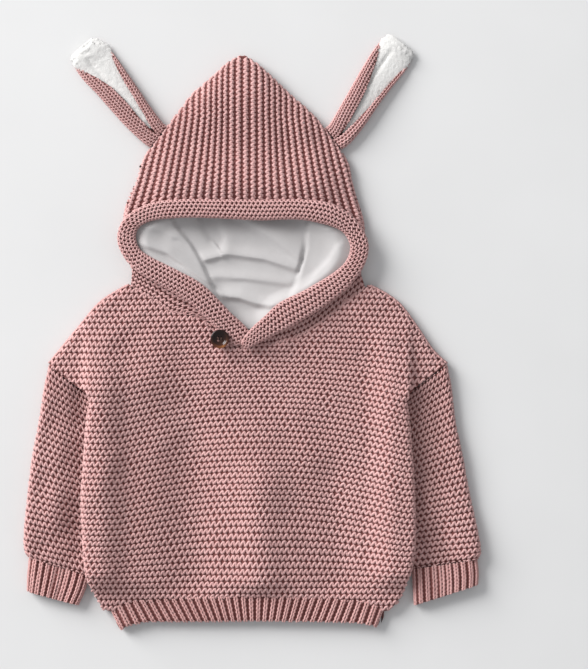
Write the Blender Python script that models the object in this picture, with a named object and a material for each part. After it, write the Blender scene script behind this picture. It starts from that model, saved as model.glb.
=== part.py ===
"""Baby's hooded pullover in chunky garter stitch, laid flat on its back.

The frame has its origin under the middle of the back panel, on the surface that the garment lies on.
+Y runs towards the hood, +X to the right of someone looking down at the front, +Z up.
Sizes are in millimetres here and become metres where a mesh is written.
"""
import math

import bmesh
import bpy

MM = 0.001

# Cloth and seams
KNIT = 4.5              # garter stitch in a 2 mm yarn, measured through its ridges
GAP = 0.3               # space that neighbouring pieces keep at a seam
LOOSE = 1.5             # air between the front and the back where they lie on each other
LAID = 2 * KNIT + LOOSE     # height of the body laid flat
ROLL = LAID / 2         # radius of the body's rounded edges
FLEECE = 2.0            # hood lining

# Body
UNDERARM = 60.0         # height of the underarm above the origin
SHOULDER = 144.0        # half width at the underarm, where the front steps down to the dropped shoulder
ARMHOLE = 177.0         # half width at the outer end of the armhole seam
SLEEVE_LIFT = 10.6      # how far a sleeve underneath raises the side of the body
ARMHOLE_SLOPE = 0.75    # rise of the armhole seam for each millimetre outwards
CORNER = 0.35           # how blunt the outer corner of the dropped shoulder is
EDGE_MARGIN = 2.0       # width of the cut edge of a panel where it isn't rolled
SHOULDER_ROUND = (88, 122)      # half widths between which the upper edge turns from cut to rolled
HEM_ROUND = (124, 130)          # and the lower edge

SIDES = (               # y, left edge, right edge
    (-140, -147, 149), (-108, -147.5, 150), (-97, -149, 152), (-74, -150.5, 155),
    (-37, -152, 154.5), (0, -150, 152.5), (37, -147, 149.5), (UNDERARM, -SHOULDER, 147), (106, -143.5, 146),
    (135, -143, 145), (161, -142, 144),
)
LOWER_EDGE = (          # x, y of the line where the rib hem starts, drooping at both corners
    (-147, -108), (-145, -115), (-141.5, -123), (-135, -134), (-127, -139.5), (-118, -134.5),
    (-105, -130.3),
    (-60, -128), (0, -126), (60, -127.5), (105, -130.5), (119, -134.5), (127.5, -139.5), (136, -134),
    (143, -124), (147, -115), (149, -108),
)
SHOULDER_EDGE = (       # x, y of the shoulder seams
    (-182, 89), (-172, 101), (-154, 123), (-135, 145), (-115, 158), (-108, 161.3),
    (110, 160), (118, 158.5), (139, 145), (156, 123), (171, 101), (184, 89),
)
NECK_EDGE = (           # x, y of the seam between the front and the hood, down to the V
    (-108, 161.3), (-100, 156.4), (-84, 147.8), (-70, 138), (-56, 134.5), (-38.6, 128.8), (-31, 119.6),
    (-24, 111), (-8, 104), (3, 103.7), (11, 105.8), (35, 110.4), (59.6, 121.6), (86, 142.8), (110, 160),
)
BACK_NECK = 163.5       # height of the back neck seam
HEM_LINE = -130.0       # heights at which the columns of the body are counted off
SHOULDER_LINE = 135.0
SLEEVE_UNDER = (        # y, share of the sleeve lift that reaches the body there
    (-135, 0), (-119, 0.08), (-111, 0.55), (-103, 1), (50, 1), (UNDERARM, 0.96), (100, 0.45), (135, 0),
)
FOLDS = (               # soft folds of the front: start x, y, end x, y, half width, rise
    (-142, 70, -138, -120, 46, 3.2),
    (6, 10, 16, -150, 30, 4.2),
    (128, 60, 126, -120, 30, 2.4),
    (92, 150, 128, 112, 9, 2.2),
    (-96, 138, -126, 112, 10, 1.6),
    (-60, 88, 30, 70, 22, 1.5),
)

# Rib
RIB_RISE = 1.1          # how far a rib stands out of the wall
HEM_RIBS = 34           # ribs across the front half of the hem
CUFF_RIBS = 9           # ribs across the top of a cuff
RIB_LAID = 9.6          # height of the hem and cuffs laid flat, under the ribs

HEM_ENDS = (            # x, y of the hem's lower edge
    (-116, -156.5), (-108, -152), (-95, -148.7), (-40, -148.5), (0, -148), (60, -148.5), (100, -149.5),
    (112, -151.5), (119.5, -153.5),
)
HEM_TOP_REACH = (-125.5, 126)   # x of the two ends of the hem's upper edge

# Sleeves: outer edge x, y, inner edge x, y, height at the outer edge, height under the body
SLEEVE_LEFT = (
    (-182, 87, -138, 54, 11.0, 9.6), (-187, 63, -137, 33, 12, 9.6), (-191, 36, -137, 10, 12.5, 9.6),
    (-196.5, 8, -137, -15, 12.7, 9.6), (-200.5, -22, -137.5, -41, 12.8, 9.6),
    (-203.5, -50, -139, -66, 12.8, 9.6),
    (-205, -72, -140.5, -87, 12.7, 9.6), (-204, -84, -142.5, -99.5, 12, 9.4),
    (-200.5, -89, -144, -106, 11, 9.2),
)
SLEEVE_RIGHT = (
    (184, 87.2, 141, 54.6, 11.0, 9.6), (188.5, 63, 139, 33, 12, 9.6), (191.5, 36, 139, 10, 12.5, 9.6),
    (197.5, 8, 139.5, -14, 12.7, 9.6), (203, -22, 140.5, -39, 12.8, 9.6), (209, -50, 142, -62, 12.8, 9.6),
    (213.5, -72, 145, -81, 12.7, 9.6), (215, -84, 148, -93, 12, 9.4), (212, -91, 150.5, -99.5, 11, 9.2),
)
CUFF_LEFT = (
    (-200.3, -89.4, -144.5, -106.5, 10.4, 9.4), (-201.5, -104, -148.5, -120, 10.6, 9.6),
    (-202, -120, -154.5, -133, 10.4, 9.6),
)
CUFF_RIGHT = (
    (211.8, -91.4, 151, -100, 10.4, 9.4), (213, -103, 152, -118, 10.6, 9.6),
    (212.5, -114, 153, -133, 10.4, 9.6),
)

# Hood
HOOD = (                # y, left edge, right edge, height of the top
    (164.5, -103, 103.5, 9.6), (178, -107.5, 107, 9.6), (191, -112, 107.5, 9.6), (204, -115.5, 108.5, 9.6),
    (220, -114.5, 107.5, 10.5), (239.5, -109.5, 101.5, 19), (258, -101.5, 96.5, 20), (278, -95, 91, 20),
    (314, -68, 64.5, 18.5), (337, -50, 39.5, 16.5), (353, -31.5, 23, 14.5), (366, -17.5, 8, 11),
    (371, -8, 0, 7),
)
FACE_TOP = 5            # row of HOOD where the front layer starts, above the band
HOOD_ROLL = 5.0         # radius of the hood's folded edges
HOOD_RIDGES = 36        # upright garter ridges across the front layer
RIDGE_RISE = 0.9

BAND = (                # inner edge x, y, outer edge x, y, underside z, thickness
    (5, 116, -9, 102.5, 11.0, 5.2), (-3, 125, -20, 111.5, 11.2, 5.6), (-14.7, 135.8, -30, 123.5, 11.6, 6.6),
    (-39.6, 160.7, -51, 143, 12.4, 7.4), (-64.4, 174.8, -74, 157.5, 12.8, 7.5),
    (-88.3, 186.8, -97, 170.5, 12.6, 7.5), (-98.5, 195, -112, 185.5, 11.4, 7.5),
    (-101.2, 206, -118.5, 204, 10.4, 7.5), (-97, 214.5, -111, 222.5, 11.4, 7.5),
    (-83.2, 220, -88, 235.5, 13, 7.5), (-56.3, 222, -57, 239, 14, 7.5), (-26.4, 221.4, -26, 239, 14.2, 7.5),
    (12, 219.6, 12, 239, 14.2, 7.5), (45, 220.4, 47, 239, 14.2, 7.5), (68.1, 216.8, 76, 235.5, 13.6, 7.5),
    (84, 211.4, 97, 223.5, 11.8, 7.5), (91.4, 204.1, 108, 208, 10.8, 7.5),
    (94.5, 193.5, 111.5, 193, 10.8, 7.5),
    (89.2, 180.8, 105.5, 175, 11.6, 7.5), (76.5, 170.2, 91, 156.5, 12.2, 7.5),
    (53.4, 156.5, 66, 137.5, 12.6, 7.5),
    (30.1, 144.9, 43, 123.7, 13, 7), (17.4, 133.3, 25, 114.5, 14.4, 6.2), (3.1, 120.1, 9, 106.5, 16.7, 5.4),
    (-6.5, 107.5, -1.5, 101.5, 16.8, 4.4),
)
BAND_STEPS = 2          # sections between two rows of BAND
BAND_LEFT, BAND_RIGHT = 14, 35      # sections at the sides of the face, between which it runs over the top
NECK_LEFT = (-106, -30)     # x of the ends of the hood's neck edge, left and right of the V
NECK_RIGHT = (18, 108)
NECK_INNER_LEFT = (     # x, y of the neck edge's inner end, under the middle of the band
    (-104, 184), (-93, 176), (-69, 165), (-45, 150), (-23, 130), (-14, 119),
)
NECK_INNER_RIGHT = ((12, 114), (34, 131), (58, 146), (83, 163), (101, 182))
NECK_TOP = 10.4         # height of the neck edges, level with the front

# Lining
LINING_TUCK = 5.5       # how far the lining runs under the band
LINING_TOP_TUCK = 22.0  # and under its top stretch, up into the hood
LINING_TOP = 214.0      # height of the face opening above which that holds
LINING_TOP_HIGH = 7.6   # the lining stays low there
LINING_CORNERS = (84, 56)   # half widths between which the deeper tuck sets in
LINING_RINGS = 7        # rings of points from its edge to its middle
LINING_FLOOR = 5.0      # the lining's underside, on the back of the hood
LINING_CREASES = (      # start x, y, end x, y, half width, rise
    (-66, 219, -31, 156, 7, 2.6), (-40, 184, 48, 176, 5, 2.2), (-20, 168, 44, 160, 4, 1.6),
    (54, 216, 56, 178, 6, 2.4),
)

# Ears: centre x, y, width, height of the rolled edges
EAR_LEFT = (
    (-81.2, 297, 25, 9), (-88, 302.4, 26, 10), (-99.5, 315, 29, 10.5), (-112.5, 331.5, 32, 10.5),
    (-125.5, 348, 34.5, 9.5),
    (-136.5, 361.5, 37, 8), (-143.5, 370, 35.5, 6.5), (-147.8, 375, 30, 5.5),
)
EAR_RIGHT = (
    (79.3, 295.2, 25, 9), (86.2, 300.8, 26, 10), (96.3, 315.2, 28.5, 10.5), (107.5, 333, 30, 10.5),
    (118.5, 350, 32.5, 9.5),
    (129, 365, 35, 8), (135, 373, 34.5, 6.5), (138.8, 378, 30, 5.5),
)
EAR_KNIT = 2.6
PLUSH = 3.0
EAR_ROLL = math.radians(118)    # how far the edges roll forward

# Button
BUTTON_PLACE = (-24.5, 111.5)
BUTTON_SEAT = 16.9      # on the left end of the band
BUTTON_RADIUS = 8.6
BUTTON_PROFILE = (      # share of the radius, height: the turned face, from the middle out and back below
    (0.0, 1.7), (0.5, 1.8), (0.66, 2.5), (0.8, 3.5), (0.92, 3.5), (1.0, 2.6), (1.0, 1.2), (0.9, 0.3),
    (0.55, 0.0),
)
HOLE_OFFSET = 2.0
HOLE_RADIUS = 0.85

EDGE_TURNS = (90, 60, 30)       # places round a folded edge, in degrees
SHARP = math.radians(35)        # edges that turn more than this are shaded sharp


def finish(name, colour, roughness, metallic=0.0):
    """One material with the colour of a piece."""
    material = bpy.data.materials.new(name)
    material.use_nodes = True
    shader = material.node_tree.nodes["Principled BSDF"]
    shader.inputs["Base Color"].default_value = (*colour, 1)
    shader.inputs["Roughness"].default_value = roughness
    shader.inputs["Metallic"].default_value = metallic
    return material


def smooth(start, end, value):
    """0 before start, 1 after end, with a soft rise between."""
    share = min(1.0, max(0.0, (value - start) / (end - start)))
    return share * share * (3 - 2 * share)


def read(table, key, column):
    """Read a column of a table that rises in its first column, with straight steps between the rows."""
    if key <= table[0][0]:
        return table[0][column]
    for low, high in zip(table, table[1:]):
        if key <= high[0]:
            share = (key - low[0]) / (high[0] - low[0])
            return low[column] + share * (high[column] - low[column])
    return table[-1][column]


def curve(rows, steps):
    """Rows of a table with smooth rows put between them (Catmull-Rom)."""
    made = []
    for i in range(len(rows) - 1):
        before, start, end = rows[max(i - 1, 0)], rows[i], rows[i + 1]
        after = rows[min(i + 2, len(rows) - 1)]
        for k in range(steps):
            t = k / steps
            made.append(tuple(
                b + (c - a) * t / 2 + (a - 2.5 * b + 2 * c - d / 2) * t * t
                + (1.5 * b - a / 2 - 1.5 * c + d / 2) * t ** 3
                for a, b, c, d in zip(before, start, end, after)))
    made.append(tuple(rows[-1]))
    return made


def fold_height(folds, x, y):
    """Height of soft folds at x, y."""
    height = 0.0
    for start_x, start_y, end_x, end_y, width, rise in folds:
        along_x, along_y = end_x - start_x, end_y - start_y
        share = ((x - start_x) * along_x + (y - start_y) * along_y) / (along_x ** 2 + along_y ** 2)
        share = min(1.0, max(0.0, share))
        away = math.hypot(x - start_x - share * along_x, y - start_y - share * along_y)
        height += rise * math.exp(-(away / width) ** 2)
    return height


def wall(name, material, outer, inner, keep=None, loop=False, shut=False):
    """Join an outer and an inner grid of points into one closed wall of cloth.

    keep(row, column) tells which cells are cloth, loop joins the last column to the first,
    and shut closes the last row over, as at a tip.
    """
    mesh = bmesh.new()
    skin, back = ([[mesh.verts.new([c * MM for c in point]) for point in row] for row in grid]
                  for grid in (outer, inner))
    columns = len(outer[0])
    rim = {}
    for i in range(len(outer) - 1):
        for j in range(columns if loop else columns - 1):
            if keep and not keep(i, j):
                continue
            nxt = (j + 1) % columns
            cell = [(i, j), (i, nxt), (i + 1, nxt), (i + 1, j)]
            mesh.faces.new([skin[a][b] for a, b in cell])
            mesh.faces.new([back[a][b] for a, b in reversed(cell)])
            for here, there in zip(cell, cell[1:] + cell[:1]):
                if rim.pop((there, here), None) is None:
                    rim[here, there] = True
    last = len(outer) - 1
    for here, there in rim:
        if shut and here[0] == last and there[0] == last:
            continue
        (a, b), (c, d) = here, there
        mesh.faces.new([skin[c][d], skin[a][b], back[a][b], back[c][d]])
    if shut:
        mesh.faces.new(skin[last])
        mesh.faces.new(list(reversed(back[last])))
    return place(name, material, mesh)


def place(name, material, mesh):
    """Write a bmesh as a smooth-shaded object, with its faces out and its points in the garment's frame."""
    bmesh.ops.delete(mesh, geom=[v for v in mesh.verts if not v.link_faces], context="VERTS")
    bmesh.ops.recalc_face_normals(mesh, faces=mesh.faces)
    bmesh.ops.triangulate(mesh, faces=mesh.faces)
    if mesh.calc_volume(signed=True) < 0:
        bmesh.ops.reverse_faces(mesh, faces=mesh.faces)
    data = bpy.data.meshes.new(name)
    mesh.to_mesh(data)
    mesh.free()
    data.materials.append(material)
    data.shade_smooth()
    data.set_sharp_from_angle(angle=SHARP)
    piece = bpy.data.objects.new(name, data)
    bpy.context.scene.collection.objects.link(piece)
    return piece


# ---------------------------------------------------------------- body

def sleeve_lift(x, y):
    """How far the sleeve underneath raises the body, with the step down to the dropped shoulder."""
    edge = -read(SIDES, y, 1) if x < 0 else read(SIDES, y, 2)
    under = smooth(106, 136, abs(x)) * read(SLEEVE_UNDER, y, 1)
    step = smooth(0, 9, abs(x) - edge)
    return SLEEVE_LIFT * under * (1 - step)


def front_top(x, y):
    """Height of the outside of the front panel."""
    calm = 1 - 0.8 * smooth(100, 112, y - 0.35 * abs(x)) - smooth(-108, HEM_LINE, y)
    return LAID + sleeve_lift(x, y) + fold_height(FOLDS, x, y) * calm


def body_columns(flats):
    """Places across the body, from left to right: hand, part of it, position and turn of the rounded edge."""
    left = [("flap", 1.0, 90), ("flap", 1.0, 45), ("flap", 1.0, 0), ("flap", 0.66, 0), ("flap", 0.33, 0)]
    left += [("edge", turn / 90, turn) for turn in EDGE_TURNS]
    middle = [("flat", 2 * k / flats - 1, 0) for k in range(flats + 1)]
    right = [(part, share, turn) for part, share, turn in reversed(left)]
    return [(-1, *c) for c in left] + [(0, *c) for c in middle] + [(1, *c) for c in right]


def body_rows(lower, upper):
    """Places up the body, from the hem to the shoulders: part, share and turn of the rounded edge."""
    rows = [("lower", 0, 90), ("lower", 0, 45)]
    rows += [("lower", k / lower, 0) for k in range(lower)]
    rows += [("upper", k / upper, 0) for k in range(upper + 1)]
    return rows + [("upper", 1, 45), ("upper", 1, 90)]


def body_x(column, y, depth):
    """Where a column of the body stands at height y, and the turn of its rounded edge there."""
    hand, part, share, turn = column
    left, right = read(SIDES, y, 1), read(SIDES, y, 2)
    edge = left if hand < 0 else right
    bent = (ROLL - KNIT * depth) * math.sin(math.radians(turn))
    if part == "flat":
        return (left + right) / 2 + share * ((right - left) / 2 - ROLL), 0
    if part == "edge":
        bend = 1 - smooth(UNDERARM - 8, UNDERARM + 6, y)
        return edge - hand * (ROLL - ROLL * share - bend * (bent - ROLL * share)), turn * bend
    outer = -ARMHOLE if hand < 0 else ARMHOLE + 2
    return edge + (outer - edge) * share + hand * bent, turn


def top_edge(x, is_front):
    """Height of the panel's upper edge at x."""
    if is_front:
        return read(sorted(SHOULDER_EDGE + NECK_EDGE[1:-1]), x, 1)
    return min(BACK_NECK, read(SHOULDER_EDGE, x, 1))


def body_point(column, row, is_front, depth):
    """A point of the front or back panel; depth is 0 on the outside and 1 on the inside."""
    part = column[1]
    level, height, turn_y = row
    upper_x = body_x(column, SHOULDER_LINE, depth)[0]
    lower_x = body_x(column, HEM_LINE, depth)[0]
    seam = UNDERARM
    if part == "flap":
        seam += ARMHOLE_SLOPE * (abs(upper_x) - SHOULDER - 1)
        upper_x = min(ARMHOLE, max(-ARMHOLE, upper_x))
    thin = KNIT * depth
    if level == "lower":
        rounded, edge, outwards = smooth(*HEM_ROUND, abs(lower_x)), read(LOWER_EDGE, lower_x, 1), -1
    else:
        rounded, edge, outwards = smooth(*SHOULDER_ROUND, abs(upper_x)), top_edge(upper_x, is_front), 1
    inset = EDGE_MARGIN + (ROLL - EDGE_MARGIN) * rounded
    flat = edge - outwards * inset
    start, end = (flat, seam) if level == "lower" else (seam, flat)
    narrow = CORNER + (1 - CORNER) * math.cos(math.radians(column[3])) if part == "flap" else 1
    y = start + (end - start) * (height if level == "lower" else height * narrow)
    if turn_y:
        curved = (ROLL - thin) * math.sin(math.radians(turn_y))
        y += outwards * (curved * rounded + EDGE_MARGIN * (1 - rounded) * turn_y / 90) * narrow
    x, turn = body_x(column, y, depth)
    lift = sleeve_lift(x, y)
    shape = math.cos(math.radians(turn)) * (1 - rounded * (1 - math.cos(math.radians(turn_y))))
    middle = lift + ROLL
    if is_front:
        return x, y, middle + GAP / 2 + (front_top(x, y) - GAP / 2 - middle - thin) * shape
    return x, y, middle - GAP / 2 - (ROLL - GAP / 2 - thin) * shape


BODY_ROWS = body_rows(9, 6)     # the same on both panels, so that their side seams run together
FRONT_COLUMNS = body_columns(24)
BACK_COLUMNS = body_columns(12)


def panel_edge(is_front, row):
    """The points x, y along the first or last row of a panel."""
    columns = FRONT_COLUMNS if is_front else BACK_COLUMNS
    return sorted(body_point(c, BODY_ROWS[row], is_front, 0)[:2] for c in columns if c[1] != "flap")


def body_panel(name, material, is_front):
    """The front or the back, with its dropped shoulders."""
    columns = FRONT_COLUMNS if is_front else BACK_COLUMNS
    first_upper = next(i for i, row in enumerate(BODY_ROWS) if row[0] == "upper")

    def cloth(i, j):
        is_flap = columns[j][1] == "flap" or columns[j + 1][1] == "flap"
        return i >= first_upper or not is_flap

    grids = [[[body_point(c, r, is_front, depth) for c in columns] for r in BODY_ROWS] for depth in (0, 1)]
    return wall(name, material, *grids, keep=cloth)


def hem(name, material, is_front):
    """Half of the ribbed hem; the front half has its ribs raised, the back half lies flat."""
    roll = RIB_LAID / 2
    upper_edge = panel_edge(is_front, 0)
    start, end = HEM_TOP_REACH[0] + roll, HEM_TOP_REACH[1] - roll
    if is_front:
        shares = [k / (HEM_RIBS * 2) for k in range(HEM_RIBS * 2 + 1)]
    else:
        shares = [0, *((x - start) / (end - start) for x, _ in upper_edge if start + 1 < x < end - 1), 1]
    spots = [(0, 90), (0, 45), *((share, 0) for share in shares), (1, 45), (1, 90)]
    grids = []
    for depth in (0, 1):
        thin = KNIT * depth
        rows = [[], []]
        for k, (share, degrees) in enumerate(spots):
            turn = math.radians(degrees)
            swing = math.copysign((roll - thin) * math.sin(turn), share - 0.5)
            top_x = start + (end - start) * share + swing
            low_x = HEM_ENDS[0][0] + roll + (HEM_ENDS[-1][0] - HEM_ENDS[0][0] - 2 * roll) * share + swing
            rise = RIB_RISE if is_front and not depth and k % 2 and not degrees else 0
            z = roll + GAP / 2 + (roll - GAP / 2 - thin + rise) * math.cos(turn)
            z = z if is_front else 2 * roll - z
            rows[0].append((top_x, read(upper_edge, top_x, 1) - GAP, z))
            rows[1].append((low_x, read(HEM_ENDS, low_x, 1), z))
        grids.append(rows)
    return wall(name, material, *grids)


# ---------------------------------------------------------------- sleeves and cuffs

def tube(name, material, rows, flats, ribs=0):
    """A flattened tube: rows give the two edges and the heights; ribs are raised on its upper half."""
    tops = ribs * 2 or flats
    arc = (0, 45, 90, 135, 180)
    spots = [("under", 1 - 2 * k / flats, 0) for k in range(flats)]
    spots += [("in", -1, a) for a in arc[:-1]]
    spots += [("over", 2 * k / tops - 1, k) for k in range(tops)]
    spots += [("out", 1, a) for a in arc[:-1]]
    grids = []
    for depth in (0, 1):
        grid = []
        for out_x, out_y, in_x, in_y, out_high, in_high in rows:
            width = math.hypot(out_x - in_x, out_y - in_y)
            dir_x, dir_y = (out_x - in_x) / width, (out_y - in_y) / width
            ring = []
            for part, share, extra in spots:
                side = (share + 1) / 2
                high = in_high + (out_high - in_high) * smooth(0.12, 0.7, side)
                roll = high / 2
                flat = width - in_high / 2 - out_high / 2
                along = in_high / 2 + flat * side
                thin = KNIT * depth
                if part == "under":
                    z = thin
                elif part == "over":
                    z = high - thin + (RIB_RISE if ribs and extra % 2 and not depth else 0)
                else:
                    angle = math.radians(extra)
                    radius = roll - thin
                    along += math.sin(angle) * radius * (-1 if part == "in" else 1)
                    z = roll - math.cos(angle) * radius * (1 if part == "in" else -1)
                ring.append((in_x + dir_x * along, in_y + dir_y * along, z))
            grid.append(ring)
        grids.append(grid)
    return wall(name, material, *grids, loop=True)


# ---------------------------------------------------------------- hood

def hood(name, material):
    """The hood as a flat pouch: its back on the surface, its front from the band up to the peak."""
    back_flats, ridges = 10, HOOD_RIDGES * 2
    spots = [("back", 2 * k / back_flats - 1, 0) for k in range(back_flats)]
    spots += [("right", 1, a) for a in (0, 45, 90, 135)]
    spots += [("front", 1 - 2 * k / ridges, k) for k in range(ridges)]
    spots += [("left", -1, a) for a in (0, 45, 90, 135)]
    rim = sorted((row[2], row[3]) for row in curve(BAND, BAND_STEPS)[BAND_LEFT:BAND_RIGHT])
    grids = []
    for depth in (0, 1):
        grid = []
        for i, (y, left, right, high) in enumerate(HOOD):
            tip = smooth(337, HOOD[-1][0], y)
            roll = HOOD_ROLL + (high / 2 - HOOD_ROLL) * tip
            thin = KNIT * depth * (1 - 0.45 * tip)
            inner_y = y - 5 * depth * tip
            half = (right - left) / 2
            flat = max(half - roll, half * 0.3)
            reach = half - flat
            ring = []
            for part, share, extra in spots:
                x = (left + right) / 2 + flat * share
                crown = (high - 2 * roll) * (1 - abs(share) ** 3)
                turned = extra if part == "right" else 180 - extra
                if part == "back":
                    z = thin
                elif part == "front":
                    rise = RIDGE_RISE * (1 - tip) if extra % 2 and not depth else 0
                    z = 2 * roll + crown - thin + rise
                else:
                    angle = math.radians(turned)
                    x += share * math.sin(angle) * (reach - thin)
                    z = roll - math.cos(angle) * (roll - thin)
                to_front = {"back": 0, "front": 1}.get(part, turned / 180)
                row_y = inner_y
                if i == FACE_TOP:
                    row_y += (read(rim, x, 1) + 2 * GAP - inner_y) * to_front
                ring.append((x, row_y, z))
            grid.append(ring)
        grids.append(grid)
    front_start = back_flats + 2

    def cloth(i, j):
        return i >= FACE_TOP or j < front_start or j >= len(spots) - 2

    return wall(name, material, *grids, keep=cloth, loop=True, shut=True)


def neck_edge(name, material, ends, inner):
    """The hood's own lower front edge, from the neck seam of the front in under the band."""
    seam = [(x, y + GAP) for x, y in panel_edge(True, -1) if ends[0] <= x <= ends[1]]
    grids = []
    for depth in (0, 1):
        grid = []
        for k, (seam_x, seam_y) in enumerate(seam):
            place_in = k / (len(seam) - 1) * (len(inner) - 1)
            one = min(int(place_in), len(inner) - 2)
            in_x, in_y = (a + (b - a) * (place_in - one) for a, b in zip(inner[one], inner[one + 1]))
            grid.append([(seam_x + (in_x - seam_x) * s, seam_y + (in_y - seam_y) * s,
                          NECK_TOP - KNIT * depth - 0.4 * (2 * s - 1) ** 2) for s in (0, 0.5, 1)])
        grids.append(grid)
    return wall(name, material, *grids)


def band(name, material):
    """The garter band round the face, an oval strip from under the V, round, and over the V again."""
    mesh = bmesh.new()
    rings = []
    for in_x, in_y, out_x, out_y, low, thick in curve(BAND, BAND_STEPS):
        ring = []
        for k in range(12):
            angle = 2 * math.pi * k / 12
            across = 0.5 + 0.5 * math.copysign(abs(math.cos(angle)) ** 0.7, math.cos(angle))
            up = 0.5 + 0.5 * math.copysign(abs(math.sin(angle)) ** 0.8, math.sin(angle))
            point = (in_x + (out_x - in_x) * across, in_y + (out_y - in_y) * across, low + thick * up)
            ring.append(mesh.verts.new([c * MM for c in point]))
        rings.append(ring)
    for one, two in zip(rings, rings[1:]):
        for k in range(12):
            mesh.faces.new([one[k], one[k - 1], two[k - 1], two[k]])
    mesh.faces.new(rings[0])
    mesh.faces.new(rings[-1])
    return place(name, material, mesh)


def lining(name, material):
    """The fleece lining that shows in the face opening: a shallow bowl tucked in under the band."""
    edge = []
    rows = curve(BAND[3:-2], BAND_STEPS)
    for in_x, in_y, out_x, out_y, low, _ in rows:
        width = math.hypot(out_x - in_x, out_y - in_y)
        upper = smooth(LINING_TOP, LINING_TOP + 6, in_y) * smooth(*LINING_CORNERS, abs(in_x))
        share = (LINING_TUCK + (LINING_TOP_TUCK - LINING_TUCK) * upper) / width
        high = low - 0.4 + (LINING_TOP_HIGH + 0.4 - low) * upper
        edge.append((in_x + (out_x - in_x) * share, in_y + (out_y - in_y) * share, high))
    edge.append((8, 122, 10.4))
    edge.append((-8, 124, 10.4))
    centre = (-4, 186)
    grids = []
    for depth in (0, 1):
        grid = []
        for ring in range(LINING_RINGS):
            away = 1 - ring / LINING_RINGS
            row = []
            for x, y, high in edge:
                px = centre[0] + (x - centre[0]) * away
                py = centre[1] + (y - centre[1]) * away
                bowl = LINING_FLOOR + FLEECE + (high - LINING_FLOOR - FLEECE) * smooth(0.5, 1, away)
                crease = fold_height(LINING_CREASES, px, py) * smooth(1, 0.85, away)
                row.append((px, py, bowl + crease - FLEECE * depth))
            grid.append(row)
        grids.append(grid)
    return wall(name, material, *grids, loop=True, shut=True)


# ---------------------------------------------------------------- ears and button

def ear(name, material, rows, plush):
    """A long ear as a trough with its edges rolled forward; plush is the white pad that lies in it."""
    thick = PLUSH if plush else EAR_KNIT
    count = 8 if plush else 12
    grids = []
    for depth in (0, 1):
        grid = []
        for i, (x, y, width, high) in enumerate(rows):
            before, after = rows[max(i - 1, 0)], rows[min(i + 1, len(rows) - 1)]
            length = math.hypot(after[0] - before[0], after[1] - before[1])
            along_x, along_y = (after[0] - before[0]) / length, (after[1] - before[1]) / length
            open_tip = i / (len(rows) - 1)
            roll = EAR_ROLL * (1 - 0.45 * open_tip)
            reach = width / 2
            span = min(1, math.sin(roll)) if roll < math.pi / 2 else 1
            row = []
            for k in range(count + 1):
                share = 2 * k / count - 1
                if plush:
                    across = share * (reach - EAR_KNIT - 1.2) * (0.35 + 0.55 * open_tip)
                    z = EAR_KNIT + GAP + 0.4 + thick * (1 - depth) * math.sqrt(1.02 - share * share * 0.9)
                    z += 0.05 * across * across / reach
                else:
                    angle = roll * share
                    radius = reach / span - thick * depth
                    tall = high / 2 - thick * depth * 0.9
                    across = math.sin(angle) * radius
                    z = high / 2 - math.cos(angle) * tall
                    z = max(z, thick * depth)
                row.append((x - along_y * across, y + along_x * across, z))
            grid.append(row)
        grids.append(grid)
    return wall(name, material, *grids)


def button(name, material):
    """A turned button with a raised rim and four holes."""
    mesh = bmesh.new()
    profile = [mesh.verts.new((BUTTON_RADIUS * r * MM, 0, z * MM)) for r, z in BUTTON_PROFILE]
    edges = [mesh.edges.new(pair) for pair in zip(profile, profile[1:])]
    bmesh.ops.spin(mesh, geom=profile + edges, cent=(0, 0, 0), axis=(0, 0, 1), angle=2 * math.pi, steps=20)
    bmesh.ops.remove_doubles(mesh, verts=mesh.verts, dist=1e-6)
    rim = [e for e in mesh.edges if e.is_boundary]
    bmesh.ops.holes_fill(mesh, edges=rim)
    disc = place(name, material, mesh)
    disc.location = (BUTTON_PLACE[0] * MM, BUTTON_PLACE[1] * MM, BUTTON_SEAT * MM)
    for k in range(4):
        angle = math.pi / 4 + math.pi / 2 * k
        bpy.ops.mesh.primitive_cylinder_add(vertices=10, radius=HOLE_RADIUS * MM, depth=0.02)
        drill = bpy.context.object
        drill.name = f"drill_{k}"
        drill.parent = disc
        drill.location = (HOLE_OFFSET * MM * math.cos(angle), HOLE_OFFSET * MM * math.sin(angle), 0)
        drill.hide_render = True
        drill.display_type = "WIRE"
        cut = disc.modifiers.new(f"hole_{k}", "BOOLEAN")
        cut.operation = "DIFFERENCE"
        cut.solver = "EXACT"
        cut.object = drill
    return disc


for leftover in list(bpy.data.objects):
    bpy.data.objects.remove(leftover)

rose = finish("rose_knit", (0.47, 0.22, 0.20), 0.95)
rib = finish("rose_rib", (0.45, 0.21, 0.19), 0.95)
fleece = finish("white_fleece", (0.80, 0.78, 0.76), 1.0)
horn = finish("brown_horn", (0.05, 0.02, 0.012), 0.22)

body_panel("front", rose, True)
body_panel("back", rose, False)
hem("hem_front", rib, True)
hem("hem_back", rib, False)
for hand, sleeve_rows, cuff_rows, neck_ends, neck_inner, ear_rows in (
        ("left", SLEEVE_LEFT, CUFF_LEFT, NECK_LEFT, NECK_INNER_LEFT, EAR_LEFT),
        ("right", SLEEVE_RIGHT, CUFF_RIGHT, NECK_RIGHT, NECK_INNER_RIGHT, EAR_RIGHT)):
    tube(f"sleeve_{hand}", rose, sleeve_rows, 6)
    tube(f"cuff_{hand}", rib, cuff_rows, 6, CUFF_RIBS)
    neck_edge(f"hood_neck_{hand}", rose, neck_ends, neck_inner)
    ear(f"ear_{hand}", rose, ear_rows, False)
    ear(f"ear_plush_{hand}", fleece, ear_rows[1:], True)
hood("hood", rose)
band("hood_band", rose)
lining("hood_lining", fleece)
button("button", horn)
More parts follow.
